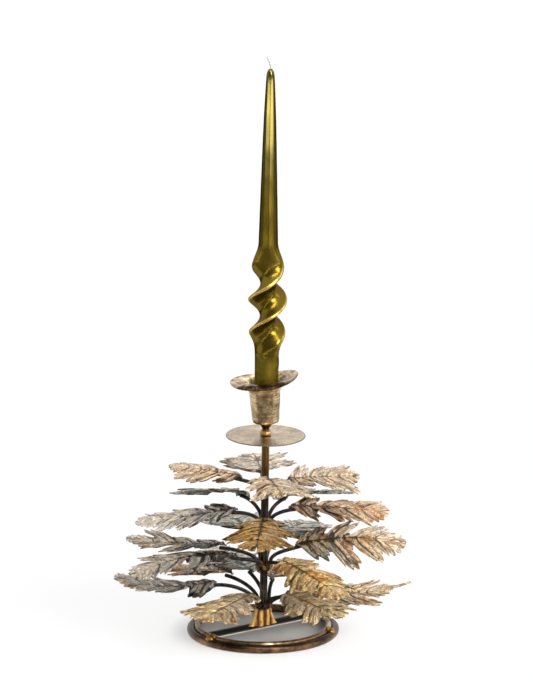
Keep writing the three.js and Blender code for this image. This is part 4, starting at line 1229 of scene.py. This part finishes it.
def add_camera():
    """The photograph's view: a long lens, 17 degrees above the table."""
    data = bpy.data.cameras.new("camera")
    data.sensor_fit = "VERTICAL"
    data.sensor_height = SENSOR_MM
    data.lens = LENS_MM
    data.clip_end = CAMERA_REACH
    eye = placed("camera", data)
    aimed(eye, EYE, AIM)
    bpy.context.scene.camera = eye


def add_world():
    """White where it is seen or mirrored, a little dimmer where it lights."""
    world = bpy.data.worlds.new("studio")
    bpy.context.scene.world = world
    studio = Finish("studio", world)
    dim = studio.add("ShaderNodeBackground", None, {"Color": WHITE, "Strength": STUDIO_DIM})
    full = studio.add("ShaderNodeBackground", None, {"Color": WHITE, "Strength": 1.0})
    light = studio.add("ShaderNodeMixShader", None, {0: studio.seen(), 1: dim, 2: full})
    studio.add("ShaderNodeOutputWorld", None, {"Surface": light})


def add_stage_mesh(name, points, faces, material):
    mesh = bpy.data.meshes.new(name)
    mesh.from_pydata(points, [], faces)
    mesh.materials.append(material)
    obj = placed(name, mesh)
    return obj


def add_floor():
    """White paper, painted grey as shade inside the ring; outside, lifted towards white where seen or
    mirrored.
    """
    paper = Finish("floor_paper")
    ring_edge = LOWER_RING + LOWER_ROD
    outside = paper.outwards().between((LOWER_RING - 1.0) * MM, (LOWER_RING + 1.0) * MM)
    # Painted shade: the paper inside the base ring is a darker grey than outside it
    colour = paper.blend(outside, (0.68, 0.68, 0.67, 1.0), grey(0.96))
    sheet = paper.add("ShaderNodeBsdfPrincipled", None, {"Base Color": colour, "Roughness": 0.95})
    white = paper.add("ShaderNodeEmission", None, {"Color": WHITE, "Strength": 1.0})
    away = paper.outwards().between(ring_edge * MM, (ring_edge + FLOOR_RISE_MM) * MM)
    lift = outside * (away * (FLOOR_LIFT - FLOOR_LIFT_NEAR) + FLOOR_LIFT_NEAR) + FLOOR_LIFT_INSIDE
    shade = paper.add("ShaderNodeMixShader", None, {0: paper.seen() * lift, 1: sheet, 2: white})
    paper.add("ShaderNodeOutputMaterial", None, {"Surface": shade})
    corners = [(x * FLOOR_HALF, y * FLOOR_HALF, 0.0) for x, y in ((-1, -1), (1, -1), (1, 1), (-1, 1))]
    add_stage_mesh("floor", corners, [(0, 1, 2, 3)], paper.material)


def card_finish(name, shade):
    return Finish(name).done(base_color=grey(shade), roughness=0.9, metallic=0.0)


def glow_finish(name, strength, from_out, to_out):
    """A lit card that grows brighter outwards."""
    glow = Finish(name)
    colour = glow.blend(glow.outwards().between(from_out, to_out), BLACK, WHITE)
    return glow.glowing(colour, strength)


def dusk_finish(name, dark, light, bottom, top):
    """A wall that grows lighter upwards."""
    dusk = Finish(name)
    return dusk.glowing(dusk.blend(dusk.height().between(bottom, top), grey(dark), grey(light)))


def add_card(name, material, inner, outer, from_deg, to_deg, turns=CARD_TURNS):
    """A card bent round the object between two edges, each a radius and a height; only mirrors see it."""
    points, faces = [], []
    for i in range(turns + 1):
        turn = rad(mix(from_deg, to_deg, i / turns))
        for radius, height in (inner, outer):
            points.append(polar(radius, turn, height))
        if i:
            faces.append((2 * i - 2, 2 * i - 1, 2 * i + 1, 2 * i))
    card = add_stage_mesh(name, points, faces, material)
    card.visible_camera = False
    card.visible_diffuse = False
    card.visible_shadow = False
    card.visible_transmission = False


def add_cards():
    """Cards on the floor round the object, and a curved wall in front of it."""
    black, dim = card_finish("card_black", 0.012), card_finish("card_dim", 0.25)
    middle, dark = card_finish("card_grey", 0.2), card_finish("card_dark", 0.18)
    left_glow = glow_finish("card_glow_left", GLOW, *GLOW_LEFT)
    right_glow = glow_finish("card_glow_right", GLOW, *GLOW_RIGHT)
    for name, material, near, far, from_deg, to_deg, height in (
        ("black_card", black, 0.75, CARD_END, 24.0, 156.0, CARD_HEIGHT),
        ("dark_card", dark, 0.25, 0.9, 204.0, 336.0, CARD_HEIGHT),
        ("grey_card", middle, 0.9, CARD_END, 204.0, 336.0, CARD_HEIGHT),
        ("dim_card_left", dim, 0.75, CARD_END, 156.0, 204.0, CARD_HEIGHT),
        ("dim_card_right", dim, 0.75, CARD_END, 336.0, 384.0, CARD_HEIGHT),
        ("glow_card_left", left_glow, GLOW_LEFT[0], CARD_END, 204.0, 266.0, GLOW_HEIGHT),
        ("glow_card_right", right_glow, GLOW_RIGHT[0], CARD_END, 276.0, 336.0, GLOW_HEIGHT),
    ):
        add_card(name, material, (near, height), (far, height), from_deg, to_deg)
    dusk = dusk_finish("wall_dusk", 0.14, 0.6, 0.6, WALL_TOP)
    edges = (WALL_RADIUS, WALL_BOTTOM), (WALL_RADIUS, WALL_TOP)
    add_card("front_wall", dusk, *edges, 195.0, 345.0, WALL_TURNS)


def add_lamp(name, kind, place, aim, energy, **settings):
    data = bpy.data.lights.new(name, kind)
    data.energy = energy
    for key, value in settings.items():
        setattr(data, key, value)
    lamp = placed(name, data)
    aimed(lamp, place, aim)
    lamp.visible_camera = False
    return lamp


def add_lamps():
    add_lamp("key", "SUN", (1.6, -1.1, 1.1), (0.0, 0.0, 0.0), 2.4, angle=rad(KEY_ANGLE_DEG))
    low = add_lamp("low_fill", "AREA", (0.7, -1.2, 0.3), (0.0, 0.0, 0.05), 13.0, shape="DISK", size=0.8)
    low.visible_glossy = False
    for name, place, aim, width, tall, radiance in PANELS:
        power = radiance * math.pi * width * tall
        panel = add_lamp(name, "AREA", place, aim, power, shape="ELLIPSE", size=width, size_y=tall)
        panel.visible_diffuse = False


add_camera()
add_world()
add_floor()
add_cards()
add_lamps()
add_base()
add_tube()
add_hubs()
add_leaves()
add_ferrule()
add_pan()
add_neck()
add_cup()
add_candle()
add_wick()

bpy.context.scene.view_settings.view_transform = "Standard"
